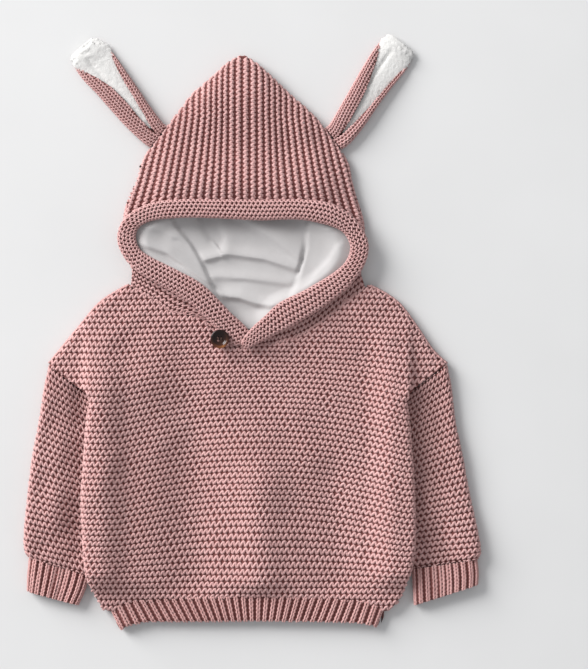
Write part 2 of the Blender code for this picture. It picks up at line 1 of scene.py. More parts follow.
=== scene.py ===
"""Baby's hooded pullover in chunky garter stitch, laid flat on its back.

Sizes are in millimetres and become metres where a mesh is written.  The frame is the garment's own:
origin under the middle of the back panel, +Y towards the hood, +X to the right, +Z up from the surface.
"""
import math

import bmesh
import bpy
import numpy as np
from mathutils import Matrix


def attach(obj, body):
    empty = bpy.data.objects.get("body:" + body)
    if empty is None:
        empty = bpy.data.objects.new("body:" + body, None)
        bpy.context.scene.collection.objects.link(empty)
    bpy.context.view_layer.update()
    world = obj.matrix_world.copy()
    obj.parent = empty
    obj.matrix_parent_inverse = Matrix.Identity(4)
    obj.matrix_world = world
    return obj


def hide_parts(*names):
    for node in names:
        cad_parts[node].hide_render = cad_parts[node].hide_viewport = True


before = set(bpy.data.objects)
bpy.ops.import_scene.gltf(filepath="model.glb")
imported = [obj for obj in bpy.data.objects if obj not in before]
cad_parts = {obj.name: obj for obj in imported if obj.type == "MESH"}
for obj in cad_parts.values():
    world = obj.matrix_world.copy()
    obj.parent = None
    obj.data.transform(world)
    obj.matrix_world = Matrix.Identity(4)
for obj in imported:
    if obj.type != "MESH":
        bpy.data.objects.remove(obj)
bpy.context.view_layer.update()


# ---------------------------------------------------------------- front panel
# The front is one piece of chunky cotton yarn in garter stitch, knit from the ribbed hem up to the shoulders.
# Its rows arch a little, because the body lies in soft folds.  Under the looped yarn lies a thin cloth
# that stands for the yarn deep in the stitches; its dark rose colour is painted shade, the shadow between the
# loops.

MM = 0.001
GAP = 0.3               # space that neighbouring pieces keep at a seam
ROLL = 5.25             # radius of the rolled sides: half of front and back laid on each other
UNDERARM = 60.0
SHOULDER = 144.0        # half width at the underarm
ARMHOLE_SLOPE = 0.75    # rise of the armhole seam for each millimetre outwards
SLEEVE_LIFT = 10.6      # how far a sleeve underneath raises the side of the body
SLEEVE_REACH = (106, 136)       # half widths between which it does so
SHOULDER_STEP = 9.0     # width of the step from the body down to the dropped shoulder
SHOULDER_ROUND = (88, 122)      # half widths between which the upper edge turns from cut to rolled
HEM_ROUND = (124, 130)          # and the lower edge
ARCH = 12.0             # how far the rows rise to the middle of the body
ARCH_MIDDLE, ARCH_REACH = 15.0, 110.0
RIDGE = 5.3             # from one garter ridge to the next
STITCH = 4.84
YARN_RADIUS = 1.3
CLOTH_THICK = 1.0       # the thin cloth under the yarn

SIDES = (               # y, left edge, right edge
    (-140, -147, 149), (-108, -147.5, 150), (-97, -149, 152), (-74, -150.5, 155),
    (-37, -152, 154.5), (0, -150, 152.5), (37, -147, 149.5), (UNDERARM, -SHOULDER, 147), (106, -143.5, 146),
    (135, -143, 145), (161, -142, 144),
)
LOWER_EDGE = (          # x, y of the line where the rib hem starts, drooping at both corners
    (-147, -108), (-145, -115), (-141.5, -123), (-135, -134), (-127, -139.5), (-118, -134.5), (-105, -130.3),
    (-60, -128), (0, -126), (60, -127.5), (105, -130.5), (119, -134.5), (127.5, -139.5), (136, -134),
    (143, -124), (147, -115), (149, -108),
)
SHOULDER_EDGE = (       # x, y of the shoulder seams
    (-182, 89), (-172, 101), (-154, 123), (-135, 145), (-115, 158), (-108, 161.3),
    (110, 160), (118, 158.5), (139, 145), (156, 123), (171, 101), (184, 89),
)
NECK_EDGE = (           # x, y of the seam between the front and the hood, down to the V
    (-108, 161.3), (-100, 156.4), (-84, 147.8), (-70, 138), (-56, 134.5), (-38.6, 128.8), (-31, 119.6),
    (-24, 111), (-8, 104), (3, 103.7), (11, 105.8), (35, 110.4), (59.6, 121.6), (86, 142.8), (110, 160),
)
BACK_NECK = 163.5
SLEEVE_UNDER = (        # y, share of the sleeve lift that reaches the body there
    (-135, 0), (-119, 0.08), (-111, 0.55), (-103, 1), (50, 1), (UNDERARM, 0.96), (100, 0.45), (135, 0),
)
FOLDS = (               # start x, y, end x, y, half width, rise: the broad folds, then the creases on them
    (-142, 70, -138, -120, 46, 3.0), (6, 10, 16, -150, 30, 4.0), (128, 60, 126, -120, 34, 1.2),
    (-112, 64, -114, -130, 34, 6.4), (12, -26, 12, -150, 24, 7.0), (-52, 44, -46, -140, 20, -3.8),
    (-84, 0, -84, -140, 15, 1.2), (80, -16, 90, -140, 19, -4.0), (-20, 74, 54, 52, 24, 2.2),
    (-78, 120, -84, 80, 18, 2.4), (92, 150, 128, 112, 9, 2.2), (-16, 102, 32, 109, 9, 4.2),
    (-96, 138, -126, 112, 10, 1.6), (44, 46, 58, 0, 12, 1.2), (-30, 60, -80, 16, 13, 1.2),
    (104, 96, 138, 70, 8, -1.5), (118, 20, 144, -30, 10, -1.2), (-118, 8, -146, -40, 9, 1.1),
    (40, -66, 60, -140, 9, 1.2), (-30, -60, -22, -140, 8, 1.0), (100, -96, 128, -118, 8, 1.2),
)


def smooth(start, end, value):
    """0 before start, 1 after end, with a soft rise between."""
    share = np.clip((value - start) / (end - start), 0, 1)
    return share * share * (3 - 2 * share)


def read(table, key, column=1):
    """A column of a table at the given places of its first column."""
    rows = np.array(table, float)
    return np.interp(key, rows[:, 0], rows[:, column])


def curve(rows, steps):
    """Rows of a table with smooth rows put between them (Catmull-Rom)."""
    rows = np.array(rows, float)
    padded = np.vstack([rows[:1], rows, rows[-1:]])
    made = []
    for a, b, c, d in zip(padded, padded[1:], padded[2:], padded[3:]):
        for t in np.arange(steps) / steps:
            made.append(b + (c - a) * t / 2 + (a - 2.5 * b + 2 * c - d / 2) * t * t
                        + (1.5 * b - a / 2 - 1.5 * c + d / 2) * t ** 3)
    return np.array(made + [rows[-1]])


def run_along(points):
    """Length along a line of points, up to each of them."""
    return np.cumsum(np.hypot(*np.diff(points, axis=0, prepend=points[:1]).T))


def away_from(x, y, start_x, start_y, end_x, end_y):
    """Distance of a place from the straight line between two points."""
    along_x, along_y = end_x - start_x, end_y - start_y
    share = ((x - start_x) * along_x + (y - start_y) * along_y) / (along_x ** 2 + along_y ** 2)
    share = np.clip(share, 0, 1)
    return np.hypot(x - start_x - share * along_x, y - start_y - share * along_y)


def folds(table, x, y):
    """Height of soft folds at x, y."""
    height = np.zeros_like(x)
    for *line, width, rise in table:
        height = height + rise * np.exp(-(away_from(x, y, *line) / width) ** 2)
    return height


SIDE_CURVE = curve(SIDES, 6)
LOWER_CURVE = curve(LOWER_EDGE, 4)
SHOULDER_CURVE = np.array(SHOULDER_EDGE, float)
FRONT_UPPER = curve(sorted(SHOULDER_EDGE + NECK_EDGE[1:-1]), 4)


def side_edge(x, y):
    """Half width of the body on the side of x."""
    return np.where(x < 0, -read(SIDE_CURVE, y, 1), read(SIDE_CURVE, y, 2))


def sleeve_lift(x, y):
    """How far the sleeve underneath raises the body, with the step down to the dropped shoulder."""
    under = smooth(*SLEEVE_REACH, np.abs(x)) * read(SLEEVE_UNDER, y)
    return SLEEVE_LIFT * under * (1 - smooth(0, SHOULDER_STEP, np.abs(x) - side_edge(x, y)))


def panel_margins(x, y, is_front):
    """Distances inside the lower edge, the upper edge, and the side or armhole."""
    lower = y - read(LOWER_CURVE, x)
    upper = read(FRONT_UPPER, x) if is_front else np.minimum(BACK_NECK, read(SHOULDER_CURVE, x))
    side = side_edge(x, y) - ROLL + ROLL * math.pi / 2 - np.abs(x)
    side = np.where(y > UNDERARM, np.minimum(side, 0), side)
    armhole = (y - UNDERARM - ARMHOLE_SLOPE * (np.abs(x) - SHOULDER - 1)) / math.hypot(1, ARMHOLE_SLOPE)
    return lower, upper - y, np.maximum(side, armhole)


def panel_inside(is_front):
    """How far inside its outline a place of the panel lies."""
    def inside(x, y):
        return np.minimum.reduce(panel_margins(x, y, is_front))
    return inside


def edge_drop(margin, rounding, x):
    """How far an edge turns down: rolled over beyond the rounding, and merely cut before it."""
    return np.clip(1 - margin / ROLL, 0, 1) ** 2 * (0.4 + 0.59 * smooth(*rounding, np.abs(x)))


def panel_surface(is_front):
    """Where a place x, y of the flat panel lies: rolled under at the sides and at the corners."""
    def surface(x, y):
        bend = 1 - smooth(UNDERARM - 8, UNDERARM + 6, y)
        flat = side_edge(x, y) - ROLL
        over = np.maximum(0, np.abs(x) - flat)
        angle = np.minimum(over / ROLL, math.pi / 2)
        drop = np.maximum(0, over - ROLL * math.pi / 2) * bend
        x_at = np.sign(x) * (np.minimum(np.abs(x), flat) + bend * ROLL * np.sin(angle) + (1 - bend) * over)
        lower, upper, _ = panel_margins(x, y, is_front)
        shape = (np.cos(angle * bend) * np.sqrt(1 - edge_drop(lower, HEM_ROUND, x))
                 * np.sqrt(1 - edge_drop(upper, SHOULDER_ROUND, x)))
        middle = sleeve_lift(x_at, y) + ROLL
        if not is_front:
            return x_at, y, middle - GAP / 2 - (ROLL - GAP / 2) * shape + drop
        # the folds are shallow across the chest and die away above the hem
        calm = 1 - 0.8 * smooth(100, 112, y - 0.35 * np.abs(x_at)) - smooth(-108, -130, y)
        rise = folds(FOLDS, x_at, y) * np.clip(calm, 0, 1)
        return x_at, y, middle + GAP / 2 + (ROLL - GAP / 2 + rise) * shape - drop
    return surface


def arched_rows(x, y):
    """Chart of the body's knitting: the rows rise to the middle and lie level at hem and neck."""
    arch = ARCH * np.clip(1 - ((x - ARCH_MIDDLE) / ARCH_REACH) ** 2, -0.4, 1)
    return x, y - arch * smooth(-128, -34, y) * (1 - 0.85 * smooth(40, 130, y))


def placed(name, data):
    """A new object in the scene."""
    piece = bpy.data.objects.new(name, data)
    bpy.context.scene.collection.objects.link(piece)
    return piece


def new_mesh(name, points, faces, charts):
    """A smooth mesh in metres with a UV map in metres of flat cloth."""
    data = bpy.data.meshes.new(name)
    data.from_pydata((points * MM).tolist(), [], faces.tolist())
    corners = np.zeros(len(data.loops), np.int32)
    data.loops.foreach_get("vertex_index", corners)
    layer = data.uv_layers.new(name="UVMap")
    layer.data.foreach_set("uv", (charts[corners] * MM).ravel())
    data.shade_smooth()
    return placed(name, data)


def cloth_grid(x, y, surface, chart, flip):
    """Points, flat places and quads of a cloth over a grid of places."""
    points = np.stack(surface(x, y), -1).reshape(-1, 3)
    charts = np.stack(chart(x, y), -1).reshape(-1, 2)
    index = np.arange(x.size).reshape(x.shape)
    cells = [index[:-1, :-1], index[:-1, 1:], index[1:, 1:], index[1:, :-1]]
    return points, charts, np.stack(cells[::-1] if flip else cells, -1).reshape(-1, 4)


def spread(name, across, up, surface, chart, inside, flip=False):
    """A cloth over the whole range of the flat places, with its margin to the outline as an attribute."""
    x, y = np.meshgrid(across, up)
    points, charts, faces = cloth_grid(x, y, surface, chart, flip)
    piece = new_mesh(name, points, faces, charts)
    margin = piece.data.attributes.new("margin", "FLOAT", "POINT")
    margin.data.foreach_set("value", inside(x, y).ravel())
    return piece


def trim(name, across, up, surface, chart, inside, sink, flip=False):
    """The same cloth cut to its outline, a little below the surface and with a thickness."""
    x, y = np.meshgrid(np.asarray(across, float), np.asarray(up, float))
    margin = inside(x, y)
    by_y, by_x = np.gradient(margin, y[:, 0], x[0])
    steep = np.maximum(np.hypot(by_x, by_y), 0.3)
    away = margin / steep
    cell = max(x[0, 1] - x[0, 0], y[1, 0] - y[0, 0]) * 1.3
    outside = (away < 0) & (away > -cell)
    x, y = (np.where(outside, c - away * g / steep, c) for c, g in ((x, by_x), (y, by_y)))
    points, charts, faces = cloth_grid(x, y, surface, chart, flip)
    kept = (away > -cell).ravel()[faces].all(1) & ((away > 0).ravel()[faces].sum(1) > 0)
    used, faces = np.unique(faces[kept], return_inverse=True)
    piece = new_mesh(name, points[used], faces.reshape(-1, 4), charts[used])
    shape = bmesh.new()
    shape.from_mesh(piece.data)
    bmesh.ops.remove_doubles(shape, verts=shape.verts, dist=1e-6)
    shape.to_mesh(piece.data)
    shape.free()
    count = len(piece.data.vertices)
    normals, places = np.zeros(count * 3, np.float32), np.zeros(count * 3, np.float32)
    piece.data.vertex_normals.foreach_get("vector", normals)
    piece.data.vertices.foreach_get("co", places)
    piece.data.vertices.foreach_set("co", places - normals * sink * MM)
    wall = piece.modifiers.new("wall", "SOLIDIFY")
    wall.thickness = CLOTH_THICK * MM
    wall.offset = -1
    return piece


class Wire:
    """A socket of a node tree: sums, products and the like add Math nodes, node() adds any other."""

    def __init__(self, tree, socket=None):
        self.tree, self.socket = tree, socket

    def node(self, kind, settings=None, sockets=None, output=0):
        made = self.tree.nodes.new(kind)
        for name, value in (settings or {}).items():
            if name == "stops":
                ramp = made.color_ramp.elements
                while len(ramp) < len(value):
                    ramp.new(0.5)
                for stop, (place, colour) in zip(ramp, value):
                    stop.position, stop.color = place, (*colour, 1)
            else:
                setattr(made, name, value)
        for key, value in (sockets or {}).items():
            if isinstance(value, Wire):
                self.tree.links.new(value.socket, made.inputs[key])
            else:
                made.inputs[key].default_value = value
        return Wire(self.tree, made.outputs[output] if made.outputs else None)

    def other(self, output):
        """Another output of the same node."""
        return Wire(self.tree, self.socket.node.outputs[output])

    def maths(self, operation, *values):
        return self.node("ShaderNodeMath", {"operation": operation}, dict(enumerate(values)))

    def __add__(self, value):
        return self.maths("ADD", self, value)

    def __sub__(self, value):
        return self.maths("SUBTRACT", self, value)

    def __rsub__(self, value):
        return self.maths("SUBTRACT", value, self)

    def __mul__(self, value):
        return self.maths("MULTIPLY", self, value)

    def __truediv__(self, value):
        return self.maths("DIVIDE", self, value)

    __radd__ = __add__
    __rmul__ = __mul__


KNIT_SIZES = {          # the knitting's named inputs with the body's values, in millimetres
    "From U": 0.0, "To U": 0.0, "From V": 0.0, "To V": 0.0,     # the flat cloth that is knit on
    "Ridge": RIDGE, "Stitch": STITCH,               # from row to row, and one wave of the yarn
    "Swing": 1.74, "Dip": 0.25, "Lean": 0.55,       # half a wave's size across, down and along its row
    "Pair": 0.0, "Uneven": 0.5,                     # shift towards the partner row, and stray
    "Radius": YARN_RADIUS, "Sink": YARN_RADIUS - 0.2,
}
KNIT_COUNTS = {"Steps": 6, "Sides": 5}      # points of the yarn along a stitch, and round it
FINE_DRIFT, SLOW_DRIFT = 1.4, 9.0           # how far a stitch runs ahead or behind, in radians


def knitting_tree():
    """Rows of looped yarn laid along the U lines of a cloth, cut off at its outline."""
    tree = bpy.data.node_groups.new("knitting", "GeometryNodeTree")
    tree.interface.new_socket("Cloth", in_out="INPUT", socket_type="NodeSocketGeometry")
    for name in (*KNIT_SIZES, *KNIT_COUNTS):
        tree.interface.new_socket(name, in_out="INPUT", socket_type="NodeSocketFloat")
    tree.interface.new_socket("Yarn", in_out="INPUT", socket_type="NodeSocketMaterial")
    tree.interface.new_socket("Knitting", in_out="OUTPUT", socket_type="NodeSocketGeometry")
    wire = Wire(tree)
    given = wire.node("NodeGroupInput")
    get = {name: given.other(name) * MM for name in KNIT_SIZES}
    steps = given.other("Steps")

    def vector(x, y, z):
        return wire.node("ShaderNodeCombineXYZ", None, {0: x, 1: y, 2: z})

    row_count = wire.maths("FLOOR", (get["To V"] - get["From V"]) / get["Ridge"]) + 1
    step = get["Stitch"] / steps
    step_count = wire.maths("FLOOR", (get["To U"] - get["From U"]) / step) + 1
    line = {"mode": "OFFSET", "count_mode": "TOTAL"}
    starts = wire.node("GeometryNodeMeshLine", line, {
        "Count": row_count, "Start Location": vector(0.0, get["From V"], 0.0),
        "Offset": vector(0.0, get["Ridge"], 0.0)})
    strand = wire.node("GeometryNodeMeshLine", line, {
        "Count": step_count, "Start Location": vector(get["From U"], 0.0, 0.0),
        "Offset": vector(step, 0.0, 0.0)})
    rows = wire.node("GeometryNodeInstanceOnPoints", None, {"Points": starts, "Instance": strand})
    rows = wire.node("GeometryNodeRealizeInstances", None, {0: rows})

    position = wire.node("GeometryNodeInputPosition")
    along = wire.node("ShaderNodeSeparateXYZ", None, {0: position})
    up = along.other(1)
    row = wire.maths("ROUND", (up - get["From V"]) / get["Ridge"])
    drift = wire.node("ShaderNodeTexNoise", None, {"Vector": position, "Scale": 260.0, "Detail": 1.0},
                      "Color")
    drift = wire.node("ShaderNodeSeparateXYZ", None, {0: drift})
    broad = wire.node("ShaderNodeTexNoise", None, {"Vector": position, "Scale": 34.0, "Detail": 1.0})
    phase = (along / get["Stitch"] * (2 * math.pi) + row * math.pi + (drift.other(2) - 0.5) * FINE_DRIFT
             + broad * SLOW_DRIFT)
    turn = wire.maths("COSINE", row * math.pi)
    wave = wire.maths("COSINE", phase)
    stray = [(drift.other(k) - 0.5) * get["Uneven"] for k in range(3)]
    new_x = along + wave * get["Lean"] + stray[0]
    new_y = up + wave * get["Swing"] + turn * get["Pair"] + stray[1]
    new_z = wire.maths("COSINE", phase * 2) * get["Dip"] - get["Sink"] + stray[2]

    cloth = given.other("Cloth")

    def sample(kind, value, place):
        chart = wire.node("GeometryNodeInputNamedAttribute", {"data_type": "FLOAT_VECTOR"}, {"Name": "UVMap"})
        return wire.node("GeometryNodeSampleUVSurface", {"data_type": kind}, {
            "Mesh": cloth, "Value": value, "Source UV Map": chart, "Sample UV": place})

    margin = wire.node("GeometryNodeInputNamedAttribute", {"data_type": "FLOAT"}, {"Name": "margin"})
    held = sample("FLOAT", margin, vector(new_x, new_y, 0.0))
    outside = wire.maths("LESS_THAN", held * held.other("Is Valid"), 0.01)
    rows = wire.node("GeometryNodeDeleteGeometry", {"domain": "POINT"},
                     {"Geometry": rows, "Selection": outside})
    rows = wire.node("GeometryNodeSetPosition", None,
                     {"Geometry": rows, "Position": vector(new_x, new_y, new_z)})
    strands = wire.node("GeometryNodeMeshToCurve", None, {0: rows})
    strands = wire.node("GeometryNodeSetCurveNormal", {"mode": "Z_UP"}, {"Curve": strands})
    run = wire.node("GeometryNodeSplineParameter", None, None, "Length")
    strands = wire.node("GeometryNodeStoreNamedAttribute", {"data_type": "FLOAT", "domain": "POINT"},
                        {"Geometry": strands, "Name": "run", "Value": run})
    ring = wire.node("GeometryNodeCurvePrimitiveCircle", {"mode": "RADIUS"},
                     {"Resolution": given.other("Sides"), "Radius": get["Radius"]})
    round_it = wire.node("GeometryNodeSplineParameter")
    ring = wire.node("GeometryNodeStoreNamedAttribute", {"data_type": "FLOAT", "domain": "POINT"},
                     {"Geometry": ring, "Name": "ply", "Value": round_it})
    tube = wire.node("GeometryNodeCurveToMesh", None,
                     {"Curve": strands, "Profile Curve": ring, "Fill Caps": True})
    tube = wire.node("GeometryNodeSetShadeSmooth", None, {"Geometry": tube})

    place = wire.node("ShaderNodeSeparateXYZ", None, {0: position})
    flat = vector(place, place.other(1), 0.0)
    seat = sample("FLOAT_VECTOR", position, flat)
    normal = sample("FLOAT_VECTOR", wire.node("GeometryNodeInputNormal"), flat)
    proud = wire.node("ShaderNodeVectorMath", {"operation": "SCALE"}, {0: normal, "Scale": place.other(2)})
    laid = wire.node("ShaderNodeVectorMath", {"operation": "ADD"}, {0: seat, 1: proud})
    tube = wire.node("GeometryNodeDeleteGeometry", {"domain": "POINT"}, {
        "Geometry": tube, "Selection": wire.maths("LESS_THAN", seat.other("Is Valid"), 0.5)})
    tube = wire.node("GeometryNodeSetPosition", None, {"Geometry": tube, "Position": laid})
    tube = wire.node("GeometryNodeRealizeInstances", None, {0: tube})
    tube = wire.node("GeometryNodeSetMaterial", None, {"Geometry": tube, "Material": given.other("Yarn")})
    wire.node("NodeGroupOutput", None, {0: tube})
    return tree


KNITTING = knitting_tree()


def made_plain(name, piece):
    """A piece as its modifiers leave it, in a plain mesh; the piece itself is used up."""
    data = bpy.data.meshes.new_from_object(piece.evaluated_get(bpy.context.evaluated_depsgraph_get()))
    data.name = name
    bpy.data.objects.remove(piece)
    return placed(name, data)


def knit(name, cloth, yarn, **sizes):
    """Lay knitting on a cloth and return it as a plain mesh; the cloth itself is used up."""
    chart = np.zeros(len(cloth.data.loops) * 2, np.float32)
    cloth.data.uv_layers[0].data.foreach_get("uv", chart)
    chart = chart.reshape(-1, 2) / MM
    values = {**KNIT_SIZES, **KNIT_COUNTS, "From U": chart[:, 0].min(), "To U": chart[:, 0].max(),
              "From V": chart[:, 1].min(), "To V": chart[:, 1].max()}
    values.update({key.replace("_", " ").title(): value for key, value in sizes.items()})
    modifier = cloth.modifiers.new("knitting", "NODES")
    modifier.node_group = KNITTING
    for item in KNITTING.interface.items_tree:
        if item.in_out == "INPUT" and item.name in values:
            modifier[item.identifier] = float(values[item.name])
        elif item.name == "Yarn":
            modifier[item.identifier] = yarn
    return made_plain(name, cloth)


def finish(name, roughness, **extra):
    """A material and the wire that builds its nodes."""
    material = bpy.data.materials.new(name)
    material.use_nodes = True
    shader = material.node_tree.nodes["Principled BSDF"]
    shader.inputs["Roughness"].default_value = roughness
    for key, value in extra.items():
        shader.inputs[key.replace("_", " ")].default_value = value
    return material, Wire(material.node_tree), shader.inputs


def noise(wire, scale, detail=2.0, **more):
    """Noise on the garment's own coordinates."""
    place = wire.node("ShaderNodeTexCoord", None, None, "Object")
    return wire.node("ShaderNodeTexNoise", None, {"Vector": place, "Scale": scale, "Detail": detail, **more})


def paint(wire, shader, mask, dark, light):
    """The base colour lies between two, by a mask."""
    colour = wire.node("ShaderNodeMix", {"data_type": "RGBA"}, {0: mask, 6: (*dark, 1), 7: (*light, 1)}, 2)
    wire.tree.links.new(colour.socket, shader["Base Color"])


def emboss(wire, shader, height, strength, distance):
    """Fine relief from a height, its distance in millimetres."""
    values = {"Height": height, "Strength": strength, "Distance": distance * MM}
    wire.tree.links.new(wire.node("ShaderNodeBump", None, values).socket, shader["Normal"])


PLIES = 3
PLY_TURN = 2.6          # length in which a ply winds once round the yarn


def yarn_finish(name, dark, light):
    """Soft cotton yarn: plies wound round it, stray fibre, and a slow change of tone along it.

    The plies' twist also tints the colour a little, as painted highlight and shade on the plies.
    """
    material, wire, shader = finish(name, 0.92, Sheen_Weight=0.1, Sheen_Roughness=0.5)
    run = wire.node("ShaderNodeAttribute", {"attribute_name": "run"}, None, "Fac")
    ply = wire.node("ShaderNodeAttribute", {"attribute_name": "ply"}, None, "Fac")
    wound = wire.maths("SINE", run * (2 * math.pi / (PLY_TURN * MM)) + ply * (2 * math.pi * PLIES))
    fibre = noise(wire, 2600.0)
    shade = noise(wire, 240.0) * 0.6 + noise(wire, 14.0) * 0.25
    # painted highlight and shade: the ply twist (wound) lightens and darkens the colour a little along each
    # ply
    paint(wire, shader, shade + fibre * 0.35 + wound * 0.07 - 0.1, dark, light)
    emboss(wire, shader, wound * 0.5 + fibre, 0.5, 0.25)
    return material


rose_yarn = yarn_finish("rose_yarn", (0.44, 0.205, 0.19), (0.735, 0.475, 0.46))
# painted shade: the cloth under the yarn is a dark rose that stands for the shadow deep between the stitches,
# not for a colour of the yarn
painted_shade_rose, wire, shader = finish("painted_shade_rose", 1.0)
paint(wire, shader, noise(wire, 700.0), (0.13, 0.044, 0.038), (0.26, 0.095, 0.088))
SINK = 1.8              # the cloth under the yarn, below the outer surface
NECK_TUCK = 2.2         # how far the yarn runs on past the neck seam
NECK_REACH = 104        # half width of the neck
ACROSS = np.arange(-190, 193, 3.2)
UP = np.arange(-146, 169, 3.2)


def dress(piece, node):
    """A finished piece rides with the garment and replaces the node given, which is hidden."""
    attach(piece, "root")
    if node:
        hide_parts(node)


def knit_on(name, cloth, wide, yarn, node, slot="rose_knit", **sizes):
    """Lay the yarn of a wide cloth on its trimmed twin, which replaces the node, and dress both."""
    cloth.data.materials.append(painted_shade_rose)
    laid = knit(f"{name}_yarn", wide, yarn, **sizes)
    dress(cloth, node)
    dress(laid, None)
    return laid


def panel(name, is_front, steps, sides):
    """The front or the back: its cloth and its yarn."""
    surface = panel_surface(is_front)
    cloth = trim(f"{name}_cloth", ACROSS, UP, surface, arched_rows, panel_inside(is_front), SINK,
                 flip=not is_front)

    def under_hood(x, y):
        lower, upper, side = panel_margins(x, y, is_front)
        return np.minimum.reduce([lower, upper + NECK_TUCK * (np.abs(x) < NECK_REACH), side])

    wide = spread(f"{name}_wide", ACROSS, UP, surface, arched_rows, under_hood, flip=not is_front)
    return cloth, knit_on(name, cloth, wide, rose_yarn, name, steps=steps, sides=sides)


SHOULDER_ROW = 3.7      # from one row along a shoulder to the next


def shoulder_rows(name, points):
    """Three rows of yarn along a shoulder, where front and back are joined, round the edge of the cloth."""
    line = curve(points, 6)
    run = run_along(line)

    def surface(along, around):
        x, y = (np.interp(along, run, line[:, k]) for k in range(2))
        to_x, to_y = (np.interp(along, run, np.gradient(line[:, k], run)) for k in range(2))
        out = 1.9 * np.cos(around / ROLL) - 1.1
        return x - to_y * out, y + to_x * out, ROLL - 0.2 - (ROLL - 0.9) * np.sin(around / ROLL)

    def inside(along, around):
        return np.minimum(along + 0.5, run[-1] - along + 0.5)

    along, around = np.linspace(-3, run[-1] + 3, 40), np.linspace(-7, 7, 11)
    wide = spread(f"{name}_wide", along, around, surface, lambda a, r: (a, r), inside)
    yarn = knit(name, wide, rose_yarn, ridge=SHOULDER_ROW, stitch=4.4, swing=1.3, radius=1.1, sink=0.9,
                from_v=-SHOULDER_ROW, to_v=SHOULDER_ROW + 0.1, steps=5, sides=4)
    dress(yarn, None)
    return yarn


front_cloth, front_yarn = panel("front", True, 6, 5)
shoulder_yarns = [shoulder_rows("shoulder_yarn_left", SHOULDER_EDGE[:6]),
                  shoulder_rows("shoulder_yarn_right", SHOULDER_EDGE[6:])]


# ---------------------------------------------------------------- back panel
# The back is knit like the front, up to a straight neck seam, and lies flat on the surface.

back_cloth, back_yarn = panel("back", False, 4, 4)


# ---------------------------------------------------------------- ribbed hem
# The hem is knit in a wide rib with thinner yarn: each rib is a pair of strands, with a gutter of purl
# stitches between, where the cloth beneath shows dark as painted shade.  The front and back halves meet at
# the side seams.

RIB_LAID = 9.6          # height of hem and cuffs laid flat, under the ribs
RIB_RISE = 1.1
RIB_YARN = 1.15
RIB_KNIT = {"stitch": 3.5, "swing": 0.3, "dip": 0.3, "lean": 0, "pair": 0.5, "uneven": 0.25,
            "radius": RIB_YARN, "sink": RIB_YARN - 0.2}
HEM_RIBS = 34
HEM_TALL = 22.0
HEM_TUCK = 1.5          # how far its upper edge runs under the body's rows
HEM_LEAN = 5.5          # how far the ribs lean along the lower edge
HEM_ENDS = (            # x, y of the hem's lower edge
    (-116, -156.5), (-108, -152), (-95, -148.7), (-40, -148.5), (0, -148), (60, -148.5), (100, -149.5),
    (112, -151.5), (119.5, -153.5),
)
HEM_TOP_REACH = (-125.5, 126)
rib_yarn = yarn_finish("rib_yarn", (0.45, 0.21, 0.19), (0.76, 0.46, 0.44))


def hem_surface(is_front):
    """A place on the hem: down from its upper edge, and across, rolled over at both ends."""
    roll = RIB_LAID / 2
    start, end = HEM_TOP_REACH[0] + roll, HEM_TOP_REACH[1] - roll
    low_start, low_end = HEM_ENDS[0][0] + roll, HEM_ENDS[-1][0] - roll

    def surface(down, across):
        over = np.clip(np.abs(across - (start + end) / 2) - (end - start) / 2, 0, roll * math.pi / 2)
        angle = over / roll
        share = np.clip((across - start) / (end - start), 0, 1)
        swing = np.sign(share - 0.5) * roll * np.sin(angle)
        top_x = start + (end - start) * share + swing
        low_x = low_start + (low_end - low_start) * share + swing
        top_y, low_y = read(LOWER_CURVE, top_x) + HEM_TUCK, read(HEM_ENDS, low_x)
        x, y = top_x + (low_x - top_x) * down, top_y + (low_y - top_y) * down
        x = x + HEM_LEAN * down * np.sin(2 * math.pi * share) * is_front
        ribs = 0.5 - 0.5 * np.cos(share * HEM_RIBS * 2 * math.pi)
        edge = 1 - 0.5 * smooth(0.9, 1.0, down) ** 2
        z = GAP / 2 + (roll - GAP / 2 + RIB_RISE * ribs * is_front) * np.cos(angle) * edge
        return x, y, roll + z * (1 if is_front else -1)
    return surface


def hem(name, is_front):
    """Half of the hem; its charts run down it, so that the yarn follows the ribs."""
    surface = hem_surface(is_front)
    ends = HEM_TOP_REACH[1] - HEM_TOP_REACH[0] + 2 * (math.pi / 2 - 1) * RIB_LAID / 2
    pitch = (HEM_TOP_REACH[1] - HEM_TOP_REACH[0] - RIB_LAID) / HEM_RIBS
    middle = sum(HEM_TOP_REACH) / 2
    first = HEM_TOP_REACH[0] + RIB_LAID / 2

    def inside(down, across):
        return np.minimum.reduce([
            down * HEM_TALL + 0.5, (1 - down) * HEM_TALL + 0.2, ends / 2 - np.abs(across - middle)])

    def chart(down, across):
        return down * HEM_TALL, across - first

    down = np.linspace(-0.06, 1.06, 11)
    across = np.arange(middle - ends / 2 - 3, middle + ends / 2 + 3, 1.1)
    cloth = trim(f"{name}_cloth", down, across, surface, chart, inside, 1.7, flip=not is_front)
    wide = spread(f"{name}_wide", down, across, surface, chart, inside, flip=not is_front)
    yarn = knit_on(name, cloth, wide, rib_yarn, name, "rose_rib", ridge=pitch / 2, from_v=-pitch * 0.75,
                   steps=5 if is_front else 4, sides=5 if is_front else 4, **RIB_KNIT)


hem("hem_front", True)
hem("hem_back", False)


# ---------------------------------------------------------------- sleeves and cuffs
# Each sleeve is one garter piece, knit down from the armhole seam and joined along its underside, with a
# ribbed cuff knit on.  It lies flattened, its inner edge under the side of the body.

